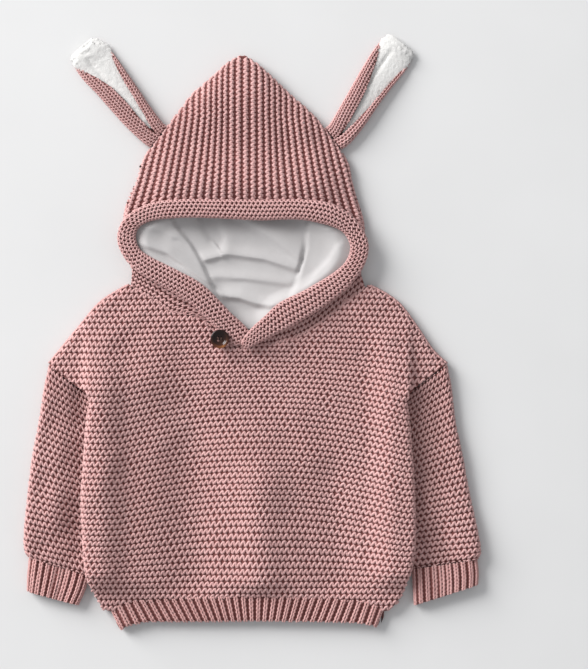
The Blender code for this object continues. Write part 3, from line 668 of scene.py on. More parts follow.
SLEEVE_LONG, SLEEVE_GIRTH = 172, 144
CUFF_LONG, CUFF_GIRTH = 29, 132
TUBE_TUCK = 2.4         # how far the yarn of a tube runs on past its upper end
SLEEVE_LEFT = (         # outer edge x, y, inner edge x, y, height at the outer edge, height under the body
    (-182, 87, -138, 54, 11.0, 9.6), (-187, 63, -137, 33, 12, 9.6), (-191, 36, -137, 10, 12.5, 9.6),
    (-196.5, 8, -137, -15, 12.7, 9.6), (-200.5, -22, -137.5, -41, 12.8, 9.6),
    (-203.5, -50, -139, -66, 12.8, 9.6), (-205, -72, -140.5, -87, 12.7, 9.6),
    (-204, -84, -142.5, -99.5, 12, 9.4), (-200.5, -89, -144, -106, 11, 9.2),
)
SLEEVE_RIGHT = (
    (184, 87.2, 141, 54.6, 11.0, 9.6), (188.5, 63, 139, 33, 12, 9.6), (191.5, 36, 139, 10, 12.5, 9.6),
    (197.5, 8, 139.5, -14, 12.7, 9.6), (203, -22, 140.5, -39, 12.8, 9.6), (209, -50, 142, -62, 12.8, 9.6),
    (213.5, -72, 145, -81, 12.7, 9.6), (215, -84, 148, -93, 12, 9.4), (212, -91, 150.5, -99.5, 11, 9.2),
)
CUFF_LEFT = (
    (-200.3, -89.4, -144.5, -106.5, 10.4, 9.4), (-201.5, -104, -148.5, -120, 10.6, 9.6),
    (-202, -120, -154.5, -133, 10.4, 9.6),
)
CUFF_RIGHT = (
    (211.8, -91.4, 151, -100, 10.4, 9.4), (213, -103, 152, -118, 10.6, 9.6),
    (212.5, -114, 153, -133, 10.4, 9.6),
)
CUFF_RIBS = 9           # ribs across the top of a cuff
CUFF_PITCH = 6.7        # girth for each rib, about
SLEEVE_FOLDS = (        # soft dents where the sleeves give way beside the body and above the cuffs
    (-152, 64, -150, 38, 10, -3.8), (-155, -44, -153, -80, 11, -3.8), (-180, 58, -192, 30, 8, 1.2),
    (171, 56, 180, -88, 17, -5.0), (-152, 10, -152, -20, 8, -1.6),
    (-172, -10, -198, -34, 9, -1.2), (-160, -62, -190, -82, 8, -1.4), (-172, 20, -176, -50, 8, 1.4),
    (166, -30, 206, -84, 9, 2.0), (176, -66, 186, -96, 8, -1.8),
    (180, 6, 190, -40, 8, 1.2), (158, -70, 164, -92, 7, -1.4), (184, -6, 204, -40, 8, -1.4),
)


def tube_surface(rows, ribs=0):
    """A place on a flattened tube: share of the way round, share of the way down."""
    path = curve(rows, 8)
    path = np.vstack([2 * path[0] - path[1], path, 2 * path[-1] - path[-2]])
    share = run_along((path[:, :2] + path[:, 2:4]) / 2)
    share = (share - share[1]) / (share[-2] - share[1])

    def surface(around, down):
        out_x, out_y, in_x, in_y, out_high, in_high = (np.interp(down, share, path[:, k]) for k in range(6))
        width = np.hypot(out_x - in_x, out_y - in_y)
        flat = width - in_high / 2 - out_high / 2
        turn_in, turn_out = math.pi * in_high / 2, math.pi * out_high / 2
        run = (around % 1) * (2 * flat + turn_in + turn_out)
        starts = [flat, flat + turn_in, 2 * flat + turn_in]
        parts = [run < starts[0], run < starts[1], run < starts[2], run >= starts[2]]
        side = np.select(parts, [1 - run / flat, 0 * run, (run - starts[1]) / flat, 1 + 0 * run])
        high = in_high + (out_high - in_high) * smooth(0.12, 0.7, side)
        angle_in, angle_out = (run - starts[0]) / (in_high / 2), (run - starts[2]) / (out_high / 2)
        bulge = np.select(parts, [0, -np.sin(angle_in) * in_high / 2, 0, np.sin(angle_out) * out_high / 2])
        along = in_high / 2 + flat * side + bulge
        z = np.select(parts, [0 * run, in_high / 2 * (1 - np.cos(angle_in)), high,
                              out_high / 2 * (1 + np.cos(angle_out))])
        x = in_x + (out_x - in_x) / width * along
        y = in_y + (out_y - in_y) / width * along
        upper = smooth(0.3, 0.9, z / high)
        if ribs:
            z = z + RIB_RISE * upper * (0.5 - 0.5 * np.cos(side * ribs * 2 * math.pi))
        else:
            z = z + upper * folds(SLEEVE_FOLDS, x, y)
        return x, y, z
    return surface


def everywhere(first, second):
    """A margin for cloth that needs no cutting."""
    return np.ones_like(first)


def past_seam(around):
    """Shares of the way round, and two more past the seam at either end."""
    step = around[1]
    return np.concatenate([[-2 * step, -step], around, [1 + step, 1 + 2 * step]])


def tube(name, rows, long, girth, ribs=0, flip=False):
    """A knitted tube; its charts run round it, or down it where it is ribbed."""
    surface = tube_surface(rows, ribs)

    def inside(around, down):
        ends = np.minimum(down * long + TUBE_TUCK, (1 - down) * long + TUBE_TUCK / 2)
        return ends if ribs else np.minimum(ends, np.minimum(around, 1 - around) * girth + 0.4)

    def chart(around, down):
        return (down * long, around * girth) if ribs else (around * girth, -down * long)

    around = np.linspace(0, 1, 111 if ribs else 61)
    levels = max(8, int(long / 4))
    cloth = trim(f"{name}_cloth", around, np.linspace(0, 1, levels), surface, chart, everywhere,
                 1.6 if ribs else 2.0, flip)
    down = np.linspace(-3 / long, 1 + 3 / long, levels)
    wide = spread(f"{name}_wide", past_seam(around), down, surface, chart, inside, flip)
    if ribs:
        count = round(girth / CUFF_PITCH)
        yarn = knit_on(name, cloth, wide, rib_yarn, name, "rose_rib", ridge=girth / count / 2, from_v=0.0,
                       to_v=girth * (1 - 0.5 / count), steps=5, **RIB_KNIT)
    else:
        yarn = knit_on(name, cloth, wide, rose_yarn, name, stitch=girth / round(girth / STITCH), from_u=0.0,
                       to_u=girth, from_v=-long - 0.6, steps=5)
    girth * MM
    long * MM


for hand, sleeve_rows, cuff_rows in (("left", SLEEVE_LEFT, CUFF_LEFT), ("right", SLEEVE_RIGHT, CUFF_RIGHT)):
    tube(f"sleeve_{hand}", sleeve_rows, SLEEVE_LONG, SLEEVE_GIRTH, flip=hand == "right")
    tube(f"cuff_{hand}", cuff_rows, CUFF_LONG, CUFF_GIRTH, CUFF_RIBS, flip=hand == "right")


# ---------------------------------------------------------------- hood
# The hood is knit sideways, so its ridges stand upright like braids and lean in towards the peak, where it is
# folded and sewn.  It lies as a flat pouch: its back on the surface, its front from the band up to the peak.

HOOD = (                # y, left edge, right edge, height of the top
    (164.5, -103, 103.5, 9.6), (178, -107.5, 107, 9.6), (191, -112, 107.5, 9.6), (204, -115.5, 108.5, 9.6),
    (220, -114.5, 107.5, 10.5), (239.5, -109.5, 101.5, 19), (258, -101.5, 96.5, 20), (278, -95, 91, 20),
    (314, -68, 64.5, 18.5), (337, -50, 39.5, 16.5), (353, -31.5, 23, 14.5), (366, -17.5, 8, 11),
    (371, -8, 0, 7),
)
HOOD_BASE, HOOD_PEAK = 164.5, 371.0
HOOD_ROLL = 5.0
HOOD_RIDGE = 6.9
HOOD_STITCH = 4.1
FACE_RIM = (            # x, y of the seam between the hood's front and the band
    (-118.5, 204), (-116, 214), (-111, 222.5), (-102, 230), (-88, 235.5), (-57, 239), (-26, 239), (12, 239),
    (47, 239), (76, 235.5), (88, 230.5), (97, 223.5), (105, 214), (108, 206),
)
HOOD_FOLDS = (
    (-56, 292, 46, 284, 20, -3.4), (-34, 332, 8, 334, 17, 2.2), (-72, 252, 66, 250, 13, 2.2),
    (-62, 296, -74, 256, 13, 1.6), (50, 306, 64, 262, 10, 1.4), (30, 322, 36, 280, 10, -1.0),
    (-96, 268, -88, 240, 9, -1.2), (72, 296, 84, 276, 10, -2.6), (84, 250, 92, 240, 10, 1.0),
    (-10, 300, 0, 262, 8, 0.9),
)
HOOD_CURVE = curve(HOOD, 4)


def hood_fold(x, y, is_front):
    """At x, y of the flat hood: folded x, turn round the fold, share of the width, radius, height, end."""
    left, right, high = (read(HOOD_CURVE, y, k) for k in (1, 2, 3))
    half, middle = (right - left) / 2, (right + left) / 2
    roll = HOOD_ROLL + (high / 2 - HOOD_ROLL) * smooth(337, HOOD_PEAK, y)
    flat = np.maximum(half - roll, 0.3 * half)
    away = np.abs(x - middle)
    end = math.pi / 2 + 0 * y if is_front else math.pi / 2 + math.pi / 3 * (1 - smooth(228, 240, y))
    angle = np.clip((away - flat) / roll, 0, end)
    x_at = middle + np.sign(x - middle) * (np.minimum(away, flat) + np.sin(angle) * (half - flat))
    return x_at, angle, np.minimum(away / flat, 1), roll, high, end * roll - (away - flat)


def hood_surface(is_front):
    """Where a place x, y of the flat hood lies."""
    def surface(x, y):
        x_at, angle, share, roll, high, _ = hood_fold(x, y, is_front)
        shape = np.sqrt(1 - 0.98 * np.clip(1 - (HOOD_PEAK - y) / 6, 0, 1) ** 2)
        if not is_front:
            return x_at, y, roll - roll * np.cos(angle) * shape
        crown = (high - 2 * roll) * (1 - share ** 3)
        crown = crown + folds(HOOD_FOLDS, x_at, y) * (1 - smooth(0.8, 1, share))
        return x_at, y, roll + (roll * np.cos(angle) + crown) * shape
    return surface


def hood_inside(is_front):
    """How far inside its outline a place of the hood lies."""
    def inside(x, y):
        x_at, *_, side = hood_fold(x, y, is_front)
        lower = y - read(FACE_RIM, x_at) + 2.5 if is_front else y - HOOD_BASE + 0.5
        return np.minimum.reduce([side + 0.4, HOOD_PEAK + 0.3 - y, lower])
    return inside


def upright_rows(x, y):
    """Chart of the hood's knitting: its ridges lean in above the face."""
    return y, x * (1 + 0.003 * np.clip(y - 245, -30, 70) * smooth(0, 40, np.abs(x)))


def hood_layer(name, is_front, across, up, steps, sides):
    """The hood's front or back: its cloth and its yarn."""
    surface, inside = hood_surface(is_front), hood_inside(is_front)
    cloth = trim(f"{name}_cloth", across, up, surface, upright_rows, inside, SINK, flip=not is_front)
    wide = spread(f"{name}_wide", across, up, surface, upright_rows, inside, flip=not is_front)
    return cloth, knit_on(name, cloth, wide, rose_yarn, "hood", ridge=HOOD_RIDGE, stitch=HOOD_STITCH,
                          swing=1.45, lean=0, radius=1.45, sink=1.25, steps=steps, sides=sides)


hood_cloth, hood_yarn = hood_layer("hood_front", True, np.arange(-126, 127, 3), np.arange(202, 376, 3), 6, 5)
hood_cloth, hood_yarn = hood_layer("hood_back", False, np.arange(-132, 133, 3), np.arange(158, 376, 3), 4, 4)


# ---------------------------------------------------------------- band round the face
# A long garter strip is folded in two along its length and sewn to the edge of the hood.  It runs from under
# the V up the left side, over the forehead and down again, and ends over its own start.

BAND = (                # inner edge x, y, outer edge x, y, underside z, thickness
    (5, 116, -9, 102.5, 11.0, 5.2), (-3, 125, -20, 111.5, 11.2, 5.6), (-14.7, 135.8, -30, 123.5, 11.6, 6.6),
    (-39.6, 160.7, -51, 143, 12.4, 7.4), (-64.4, 174.8, -74, 157.5, 12.8, 7.5),
    (-88.3, 186.8, -97, 170.5, 12.6, 7.5), (-98.5, 195, -112, 185.5, 11.4, 7.5),
    (-101.2, 206, -118.5, 204, 10.4, 7.5), (-97, 214.5, -111, 222.5, 11.4, 7.5),
    (-83.2, 220, -88, 235.5, 13, 7.5), (-56.3, 222, -57, 239, 14, 7.5), (-26.4, 221.4, -26, 239, 14.2, 7.5),
    (12, 219.6, 12, 239, 14.2, 7.5), (45, 220.4, 47, 239, 14.2, 7.5), (68.1, 216.8, 76, 235.5, 13.6, 7.5),
    (84, 211.4, 97, 223.5, 11.8, 7.5), (91.4, 204.1, 108, 208, 10.8, 7.5),
    (94.5, 193.5, 111.5, 193, 10.8, 7.5), (89.2, 180.8, 105.5, 175, 11.6, 7.5),
    (76.5, 170.2, 91, 156.5, 12.2, 7.5), (53.4, 156.5, 66, 137.5, 12.6, 7.5),
    (30.1, 144.9, 43, 123.7, 13, 7), (17.4, 133.3, 25, 114.5, 14.4, 6.2), (3.1, 120.1, 9, 106.5, 16.7, 5.4),
    (-6.5, 107.5, -1.5, 101.5, 16.8, 4.4),
)
BAND_GIRTH = 42.0
BAND_RIDGES = 12
BAND_WIDE, BAND_THICK = 17.3, 7.5       # over most of its length
BAND_CURVE = curve(BAND, 8)
BAND_RUN = run_along((BAND_CURVE[:, :2] + BAND_CURVE[:, 2:4]) / 2)
OVAL = np.radians(np.arange(-90, 271, 3))       # the band's section, from the middle of its underside round


def oval(angle):
    """Shares of the width and of the thickness at an angle round the band's section."""
    across, up = np.cos(angle), np.sin(angle)
    return 0.5 + 0.5 * np.sign(across) * np.abs(across) ** 0.7, 0.5 + 0.5 * np.sign(up) * np.abs(up) ** 0.8


OVAL_RUN = run_along(np.stack(oval(OVAL), -1) * (BAND_WIDE, BAND_THICK))
OVAL_RUN = OVAL_RUN / OVAL_RUN[-1]


def band_surface(around, run):
    """A place on the band: share of the way round it, length along it; thinner at both ends."""
    in_x, in_y, out_x, out_y, low, thick = (np.interp(run, BAND_RUN, BAND_CURVE[:, k]) for k in range(6))
    across, up = oval(np.interp(around % 1, OVAL_RUN, OVAL))
    full = 0.25 + 0.75 * np.sqrt(smooth(-1, 4, run) * smooth(-1, 4, BAND_RUN[-1] - run))
    across, up = 0.5 + (across - 0.5) * full, 0.5 + (up - 0.5) * full
    return in_x + (out_x - in_x) * across, in_y + (out_y - in_y) * across, low + thick * up


def band_inside(around, run):
    """How far from its ends and from the seam on its underside a place of the band lies."""
    ends = np.minimum(run + 0.2, BAND_RUN[-1] - run + 0.2)
    return np.minimum(ends, np.minimum(around, 1 - around) * BAND_GIRTH + 0.4)


def band_chart(around, run):
    return run, around * BAND_GIRTH


band_around = np.linspace(0, 1, 33)
band_runs = np.linspace(0, BAND_RUN[-1], 221)
band_cloth = trim("band_cloth", band_around, band_runs, band_surface, band_chart, everywhere, 2.0)
band_wide = spread("band_wide", past_seam(band_around), [-3, *band_runs, BAND_RUN[-1] + 3], band_surface,
                   band_chart, band_inside)
band_yarn = knit_on("band", band_cloth, band_wide, rose_yarn, "hood_band", ridge=BAND_GIRTH / BAND_RIDGES,
                    stitch=3.9, swing=1.1, lean=0.5, radius=0.92, sink=0.75, from_v=0.0,
                    to_v=BAND_GIRTH * (1 - 0.5 / BAND_RIDGES))


# ---------------------------------------------------------------- neck edges of the hood
# Beside the V the hood runs on under the band down to the neck seam, its ridges along the seam.

NECKS = (               # hand, x of both ends of the seam, then the inner edge x, y under the band
    ("left", (-106, -30), ((-104, 184), (-93, 176), (-69, 165), (-45, 150), (-23, 130), (-14, 119))),
    ("right", (-10, 108), ((-12, 111), (12, 118), (34, 131), (58, 146), (83, 163), (101, 182))),
)
NECK_TOP = 10.4
NECK_SLANT = 1.18       # length along the seam for each millimetre across


def neck(name, ends, inner):
    """The strip of the hood between the neck seam and the band, on one side."""
    inner = curve(inner, 4)
    long = NECK_SLANT * (ends[1] - ends[0])

    def edges(along):
        seam_x = ends[0] + (ends[1] - ends[0]) * along
        share = np.linspace(0, 1, len(inner))
        in_x, in_y = np.interp(along, share, inner[:, 0]), np.interp(along, share, inner[:, 1])
        seam_y = read(FRONT_UPPER, seam_x) + GAP
        return seam_x, seam_y, in_x, in_y, np.hypot(in_x - seam_x, in_y - seam_y)

    def surface(along, out):
        seam_x, seam_y, in_x, in_y, _ = edges(along)
        _, _, seam_z = panel_surface(True)(seam_x, read(FRONT_UPPER, seam_x) - 1.5)
        under_band = NECK_TOP + 1.0 + 3.0 * smooth(70, 20, np.abs(seam_x - 12))
        z = seam_z + (under_band - seam_z) * smooth(0, 0.8, out)
        return seam_x + (in_x - seam_x) * out, seam_y + (in_y - seam_y) * out, z

    def inside(along, out):
        wide = edges(along)[4]
        return np.minimum.reduce([
            along * long + 0.5, (1 - along) * long + 0.5, out * wide + NECK_TUCK, (1 - out) * wide])

    def chart(along, out):
        return along * long, out * edges(along)[4]

    along, out = np.linspace(-0.03, 1.03, 41), np.linspace(-0.16, 1.06, 12)
    cloth = trim(f"{name}_cloth", along, out, surface, chart, inside, 2.0)
    wide = spread(f"{name}_wide", along, out, surface, chart, inside)
    yarn = knit_on(name, cloth, wide, rose_yarn, name, ridge=4.6, stitch=4.4, swing=1.4, radius=1.1, sink=0.9,
                   from_v=-0.9)
    long * MM


for hand, ends, inner in NECKS:
    neck(f"hood_neck_{hand}", ends, inner)


# ---------------------------------------------------------------- fleece lining
# White brushed cotton fleece lines the hood and shows in the face opening, where it stands up at both sides
# and lies in soft creases on the back of the hood.

LINING_EDGE = (         # x, y, z of its edge, hidden under the band all round
    (-20.5, 131.3, 10.8), (-43, 155.5, 12), (-67, 170.5, 12.4), (-91, 181.7, 12.2), (-103.2, 191.8, 11),
    (-106.6, 205.4, 10), (-101.3, 217, 11), (-84.8, 225, 12), (-62, 232, 11), (-45, 240, 8.4),
    (-20, 243, 7.8), (12, 241, 7.8), (40, 241, 8.2), (56, 234, 10), (71, 222.6, 12.6), (88, 215.2, 11.4),
    (96.6, 205.3, 10.4), (100, 193.3, 10.4), (94.3, 179, 11.2), (81.2, 165.8, 11.8), (57, 151, 12.2),
    (33.4, 139.6, 12.6), (19.5, 127.5, 12.6), (8, 120, 10.4), (-8, 122.5, 10.4),
)
LINING_CENTRE = (-4, 186)
LINING_FLOOR = 5.8
WALL_STEP, WALL_RISE = 3.4, 1.6         # a wall stands up from its folded edge at once, and then slowly
LEFT_WALL = ((-70, 226), (-64, 214), (-51, 199), (-41, 182), (-30, 158), (-24, 140))    # its folded edge x, y
RIGHT_WALL = ((56, 232), (54, 212), (54, 196), (50.5, 181), (43, 158), (34, 138))
BACK_CREASES = (        # rise, half width, then x, y along it; the lower side of a crease is the steeper
    (3.4, 6.0, (-42, 183), (-17, 189.5), (16, 185), (50, 174)), (1.8, 5.0, (-36, 168), (-2, 167), (44, 161)),
    (4.4, 5.0, (-26, 151), (-6, 149), (9, 143.5), (30, 141)), (4.2, 10.0, (-6, 226), (25, 204), (54, 182)),
    (-2.4, 11.0, (-40, 216), (-32, 204)), (1.6, 7.0, (-26, 224), (-18, 204), (-22, 192)),
)
WALL_CREASES = (
    (2.6, 5.0, (-99, 199), (-72, 190), (-52, 175), (-34, 163)),
    (1.4, 6.0, (-92, 214), (-78, 211), (-68, 205)),
    (1.0, 2.6, (74, 211), (84, 215), (94, 213)), (1.2, 6.0, (84, 196), (76, 182), (62, 168)),
)


def beside(line, x, y):
    """Distance from a line of points, positive on its left hand."""
    near, hand = np.full(x.shape, 1e9), np.ones(x.shape)
    for (x0, y0), (x1, y1) in zip(line, line[1:]):
        away = away_from(x, y, x0, y0, x1, y1)
        closer = away < near
        near = np.where(closer, away, near)
        hand = np.where(closer, np.sign((x1 - x0) * (y - y0) - (y1 - y0) * (x - x0)), hand)
    return near * hand


lining_edge = curve(LINING_EDGE + LINING_EDGE[:1], 6)


def lining_surface(around, away):
    """A place on the lining: share of the way round its edge, share of the way out from its centre."""
    share = np.linspace(0, 1, len(lining_edge))
    edge_x, edge_y, edge_z = (np.interp(around, share, lining_edge[:, k]) for k in range(3))
    x = LINING_CENTRE[0] + (edge_x - LINING_CENTRE[0]) * away
    y = LINING_CENTRE[1] + (edge_y - LINING_CENTRE[1]) * away
    left, right = -beside(LEFT_WALL, x, y), beside(RIGHT_WALL, x, y)
    rise, on_back = 0, (1 - smooth(-4, 1, left)) * (1 - smooth(-4, 1, right))
    for creases, there in ((BACK_CREASES, on_back), (WALL_CREASES, 1)):
        for height, width, *line in creases:
            above = beside(line, x, y)
            spread_by = np.where(above > 0, width * 1.3, width * 0.42)
            rise = rise + height * there * np.exp(-(above / spread_by) ** 2)
    for wall in (left, right):
        rise = rise + WALL_STEP * smooth(-0.6, 2.2, wall) + WALL_RISE * smooth(2, 30, wall)
    calm = smooth(1, 0.84, away)
    return x, y, LINING_FLOOR + (edge_z - LINING_FLOOR) * smooth(0.7, 1, away) + rise * calm


def lining_chart(around, away):
    """The fleece is charted as it is seen, from above."""
    x, y, _ = lining_surface(around, away)
    return x, y


lining = trim("lining", np.linspace(0, 1, 161), np.linspace(0, 1, 61), lining_surface, lining_chart,
              everywhere, 0.0)
fleece, wire, shader = finish("white_fleece", 1.0, Sheen_Weight=0.3, Sheen_Roughness=0.6)
nap, mottle = noise(wire, 1900.0), noise(wire, 60.0, 3.0)
paint(wire, shader, mottle * 0.6 + nap * 0.5, (0.39, 0.372, 0.367), (0.54, 0.52, 0.515))
emboss(wire, shader, nap + mottle, 0.35, 0.4)
lining.data.materials.append(fleece)
dress(lining, "hood_lining")


# ---------------------------------------------------------------- ears
# Each ear is a strip in a finer stitch, sewn to a white plush strip, turned out and gathered at its base.
# The knit edges curl forward over the plush, which widens to a rounded shaggy end.

EARS = {                # centre x, y, width, height of the curled edges
    "left": ((-81.2, 297, 25, 9), (-88, 302.4, 26, 10), (-99.5, 315, 29, 10.5), (-112.5, 331.5, 32, 10.5),
             (-125.5, 348, 34.5, 9.5), (-136.5, 361.5, 37, 8), (-143.5, 370, 35.5, 6.5),
             (-147.8, 375, 30, 5.5)),
    "right": ((79.3, 295.2, 25, 9), (86.2, 300.8, 26, 10), (96.3, 315.2, 28.5, 10.5), (107.5, 333, 30, 10.5),
              (118.5, 350, 32.5, 9.5), (129, 365, 35, 8), (135, 373, 34.5, 6.5), (138.8, 378, 30, 5.5)),
}
EAR_KNIT = 2.6
LONGEST_EAR = 104.0
EAR_SLOTS = {           # share of the length, edges of the slot between the curled edges, in half widths
    "left": ((0, -0.1, 0.0), (0.08, -0.2, 0.0), (0.25, -0.42, 0.02), (0.45, -0.54, 0.04), (0.6, -0.62, 0.16),
             (0.75, -0.76, 0.42), (0.84, -0.92, 0.62), (0.9, -1.0, 0.76), (1.0, -1.0, 0.94)),
    "right": ((0, -0.1, 0.0), (0.08, -0.2, 0.0), (0.25, -0.42, 0.0), (0.45, -0.66, 0.1), (0.6, -0.74, 0.26),
              (0.75, -0.82, 0.48), (0.86, -0.88, 0.68), (0.94, -0.94, 0.84), (1.0, -0.98, 0.96)),
}
PLUSH_EDGES = {         # share of the length, edges of the plush, in half widths
    "left": ((0.1, -0.22, -0.02), (0.2, -0.5, 0.2), (0.45, -0.68, 0.36), (0.6, -0.74, 0.46),
             (0.75, -0.86, 0.62), (0.84, -1.0, 0.76), (0.92, -1.08, 0.9), (0.98, -1.1, 1.08),
             (1.03, -1.02, 1.04), (1.06, -0.8, 0.84)),
    "right": ((0.1, -0.22, -0.02), (0.2, -0.5, 0.2), (0.45, -0.78, 0.4), (0.6, -0.82, 0.5),
              (0.75, -0.88, 0.64), (0.86, -0.92, 0.8), (0.93, -0.97, 0.92), (0.98, -1.06, 1.1),
              (1.03, -1.02, 1.06), (1.06, -0.82, 0.86)),
}
ear_yarn = yarn_finish("ear_yarn", (0.46, 0.22, 0.205), (0.77, 0.505, 0.49))


def ear_spine(rows, along):
    """Centre, direction, half width and edge height of an ear, at a share of its length."""
    path = curve(rows, 8)
    share = run_along(path[:, :2])
    share = share / share[-1]
    x, y, wide, high = (np.interp(along, share, path[:, k]) for k in range(4))
    step_x, step_y = np.gradient(path[:, 0]), np.gradient(path[:, 1])
    length = np.hypot(step_x, step_y)
    past = np.maximum(along - 1, 0) * LONGEST_EAR
    to_x, to_y = np.interp(along, share, step_x / length), np.interp(along, share, step_y / length)
    return x + to_x * past, y + to_y * past, to_x, to_y, wide / 2, high


def ear(name, rows, slot_edges):
    """The knit strip of an ear, lying on its middle with both edges rolled forward and in over the plush."""
    long = float(run_along(np.array(rows)[:, :2])[-1])

    def half_girth(side, along):
        """Radius of the rolled edge, half girth to the edge, and half width of the flat middle."""
        *_, reach, high = ear_spine(rows, along)
        radius = np.minimum(high * 0.46, reach * 0.6)
        edge = np.where(side > 0, read(slot_edges, along, 2), -read(slot_edges, along, 1)) * reach
        past = reach - radius - edge
        turn = math.pi - np.arcsin(np.clip(-past / radius, 0, 1))
        return radius, reach - radius + radius * turn + np.maximum(past, 0), reach - radius

    def surface(side, along):
        x, y, to_x, to_y, *_ = ear_spine(rows, along)
        radius, whole, flat = half_girth(side, along)
        run = np.abs(side) * whole
        angle = np.clip((run - flat) / radius, 0, math.pi)
        over = np.maximum(0, run - flat - math.pi * radius)
        across = np.sign(side) * (np.minimum(run, flat) + radius * np.sin(angle) - over)
        z = radius * (1 - np.cos(angle)) - 1.2 * smooth(0.82, 1, np.abs(side)) * (angle > 2)
        return x - to_y * across, y + to_x * across, z

    def inside(side, along):
        whole = half_girth(side, along)[1]
        return np.minimum(np.minimum(along, 1 - along) * long + 0.5, (1 - np.abs(side)) * whole + 0.4)

    def chart(side, along):
        return along * long, side * half_girth(side, along)[1]

    side, along = np.linspace(-1.08, 1.08, 55), np.linspace(-0.03, 1.03, 43)
    cloth = trim(f"{name}_cloth", side, along, surface, chart, inside, 1.1)
    wide = spread(f"{name}_wide", side, along, surface, chart, inside)
    yarn = knit_on(name, cloth, wide, ear_yarn, name, ridge=2.9, stitch=3.0, swing=0.72, lean=0.3,
                   radius=0.82, sink=0.7, dip=0.2, uneven=0.25, steps=5, sides=4)


def shag(points, size, seed):
    """A rough value at each point, between -1 and 1, for tufts of pile."""
    draws = np.random.default_rng(seed)
    rough = 0
    for _ in range(14):
        way = draws.normal(size=3)
        way = way / np.linalg.norm(way) * 2 * math.pi / (size * draws.uniform(0.6, 1.8))
        rough = rough + np.sin(points @ way + draws.uniform(0, 6.28))
    return np.clip(rough / 4.5, -1, 1)


def close(shape):
    """Fill the holes of a shape and turn its faces outwards."""
    bmesh.ops.holes_fill(shape, edges=[e for e in shape.edges if e.is_boundary])
    bmesh.ops.recalc_face_normals(shape, faces=shape.faces)


PLUSH_ENDS = (0.1, 1.062)       # shares of the ear's length


def plush_pad(name, rows, edges, seed):
    """A flattened pad of pile, thickest at its shaggy end, with a crease along it."""
    def surface(around, along):
        x, y, to_x, to_y, reach, _ = ear_spine(rows, along)
        low, high = read(edges, along, 1) * reach, read(edges, along, 2) * reach
        wide = (high - low) / 2
        across = (low + high) / 2 + np.cos(around) * wide
        upper = np.sin(around) > 0
        thick = 1.8 + 1.4 * smooth(0.84, 0.98, along) - 1.2 * smooth(1.0, 1.06, along)
        thick = thick * np.minimum(1, wide / 5) * np.where(upper, 1, 0.4)
        crease = 1.6 * np.exp(-((across - 0.2 * reach) / 1.5) ** 2) * smooth(0.5, 0.7, along)
        z = EAR_KNIT + 1.2 + np.sin(around) * thick - crease * smooth(1.0, 0.9, along) * upper
        return np.stack([x - to_y * across, y + to_x * across, z], -1)

    around, along = np.radians(np.arange(0, 360, 6)), np.linspace(*PLUSH_ENDS, 72)
    points = surface(*np.meshgrid(around, along)).reshape(-1, 3)
    rings, count = len(along), len(around)
    outward = points - points.reshape(rings, count, 3).mean(1).repeat(count, 0)
    away = np.linalg.norm(outward, axis=1)
    rough = 0.5 * shag(points, 3.2, seed) + 0.35 * shag(points, 1.5, seed + 1)
    rough = rough * np.minimum(1, away / 4) * (1 + 1.4 * smooth(0.9, 1.04, along)).repeat(count)
    points = points + outward / np.maximum(away, 1e-6)[:, None] * rough[:, None]
    index = np.arange(rings * count).reshape(rings, count)
    following = np.roll(index, -1, 1)
    faces = np.stack([index[:-1], following[:-1], following[1:], index[1:]], -1).reshape(-1, 4)[:, ::-1]
    piece = new_mesh(f"{name}_pile", points, faces, points[:, :2])
    shape = bmesh.new()
    shape.from_mesh(piece.data)
    close(shape)
    shape.to_mesh(piece.data)
    shape.free()
    piece.data.materials.append(plush)
    dress(piece, name)


plush, wire, shader = finish("white_plush", 1.0, Sheen_Weight=0.5, Sheen_Roughness=0.5)
tufts, pile = noise(wire, 420.0, 3.0), noise(wire, 1500.0, 3.0)
paint(wire, shader, tufts * 0.7 + pile * 0.4, (0.60, 0.58, 0.56), (0.76, 0.75, 0.73))
emboss(wire, shader, tufts + pile, 0.6, 0.8)
for seed, (hand, rows) in enumerate(EARS.items()):
    ear(f"ear_{hand}", rows, EAR_SLOTS[hand])
    plush_pad(f"ear_plush_{hand}", rows, PLUSH_EDGES[hand], seed * 10)


# ---------------------------------------------------------------- button
# A turned horn button with a dished face, a raised rim and four holes, sewn on with brown thread through the
# left end of the band.  It is closed on nothing: the garment pulls over the head.

BUTTON_AT = (-24.5, 111.5, 16.9)
BUTTON_RADIUS = 8.6
BUTTON_PROFILE = (      # share of the radius, height: from the middle of the dish out and back below
    (0.0, 1.55), (0.3, 1.6), (0.48, 1.75), (0.58, 2.1), (0.66, 2.7), (0.73, 3.25), (0.8, 3.5), (0.88, 3.55),
    (0.95, 3.25), (0.99, 2.7), (1.0, 2.0), (0.98, 1.2), (0.92, 0.5), (0.8, 0.15), (0.55, 0.0),
)
HOLE_OFFSET = 2.0
HOLE_RADIUS = 0.85


def shaped(name, shape):
    """An object with the form of a bmesh, which is used up."""
    data = bpy.data.meshes.new(name)
    shape.to_mesh(data)
    shape.free()
    return placed(name, data)


shape = bmesh.new()
profile = [shape.verts.new((BUTTON_RADIUS * r * MM, 0, z * MM)) for r, z in BUTTON_PROFILE]
profile = profile + [shape.edges.new(pair) for pair in zip(profile, profile[1:])]
bmesh.ops.spin(shape, geom=profile, cent=(0, 0, 0), axis=(0, 0, 1), angle=2 * math.pi, steps=56)
bmesh.ops.remove_doubles(shape, verts=shape.verts, dist=1e-6)
close(shape)
bmesh.ops.translate(shape, verts=shape.verts, vec=[c * MM for c in BUTTON_AT])
disc = shaped("button_disc", shape)

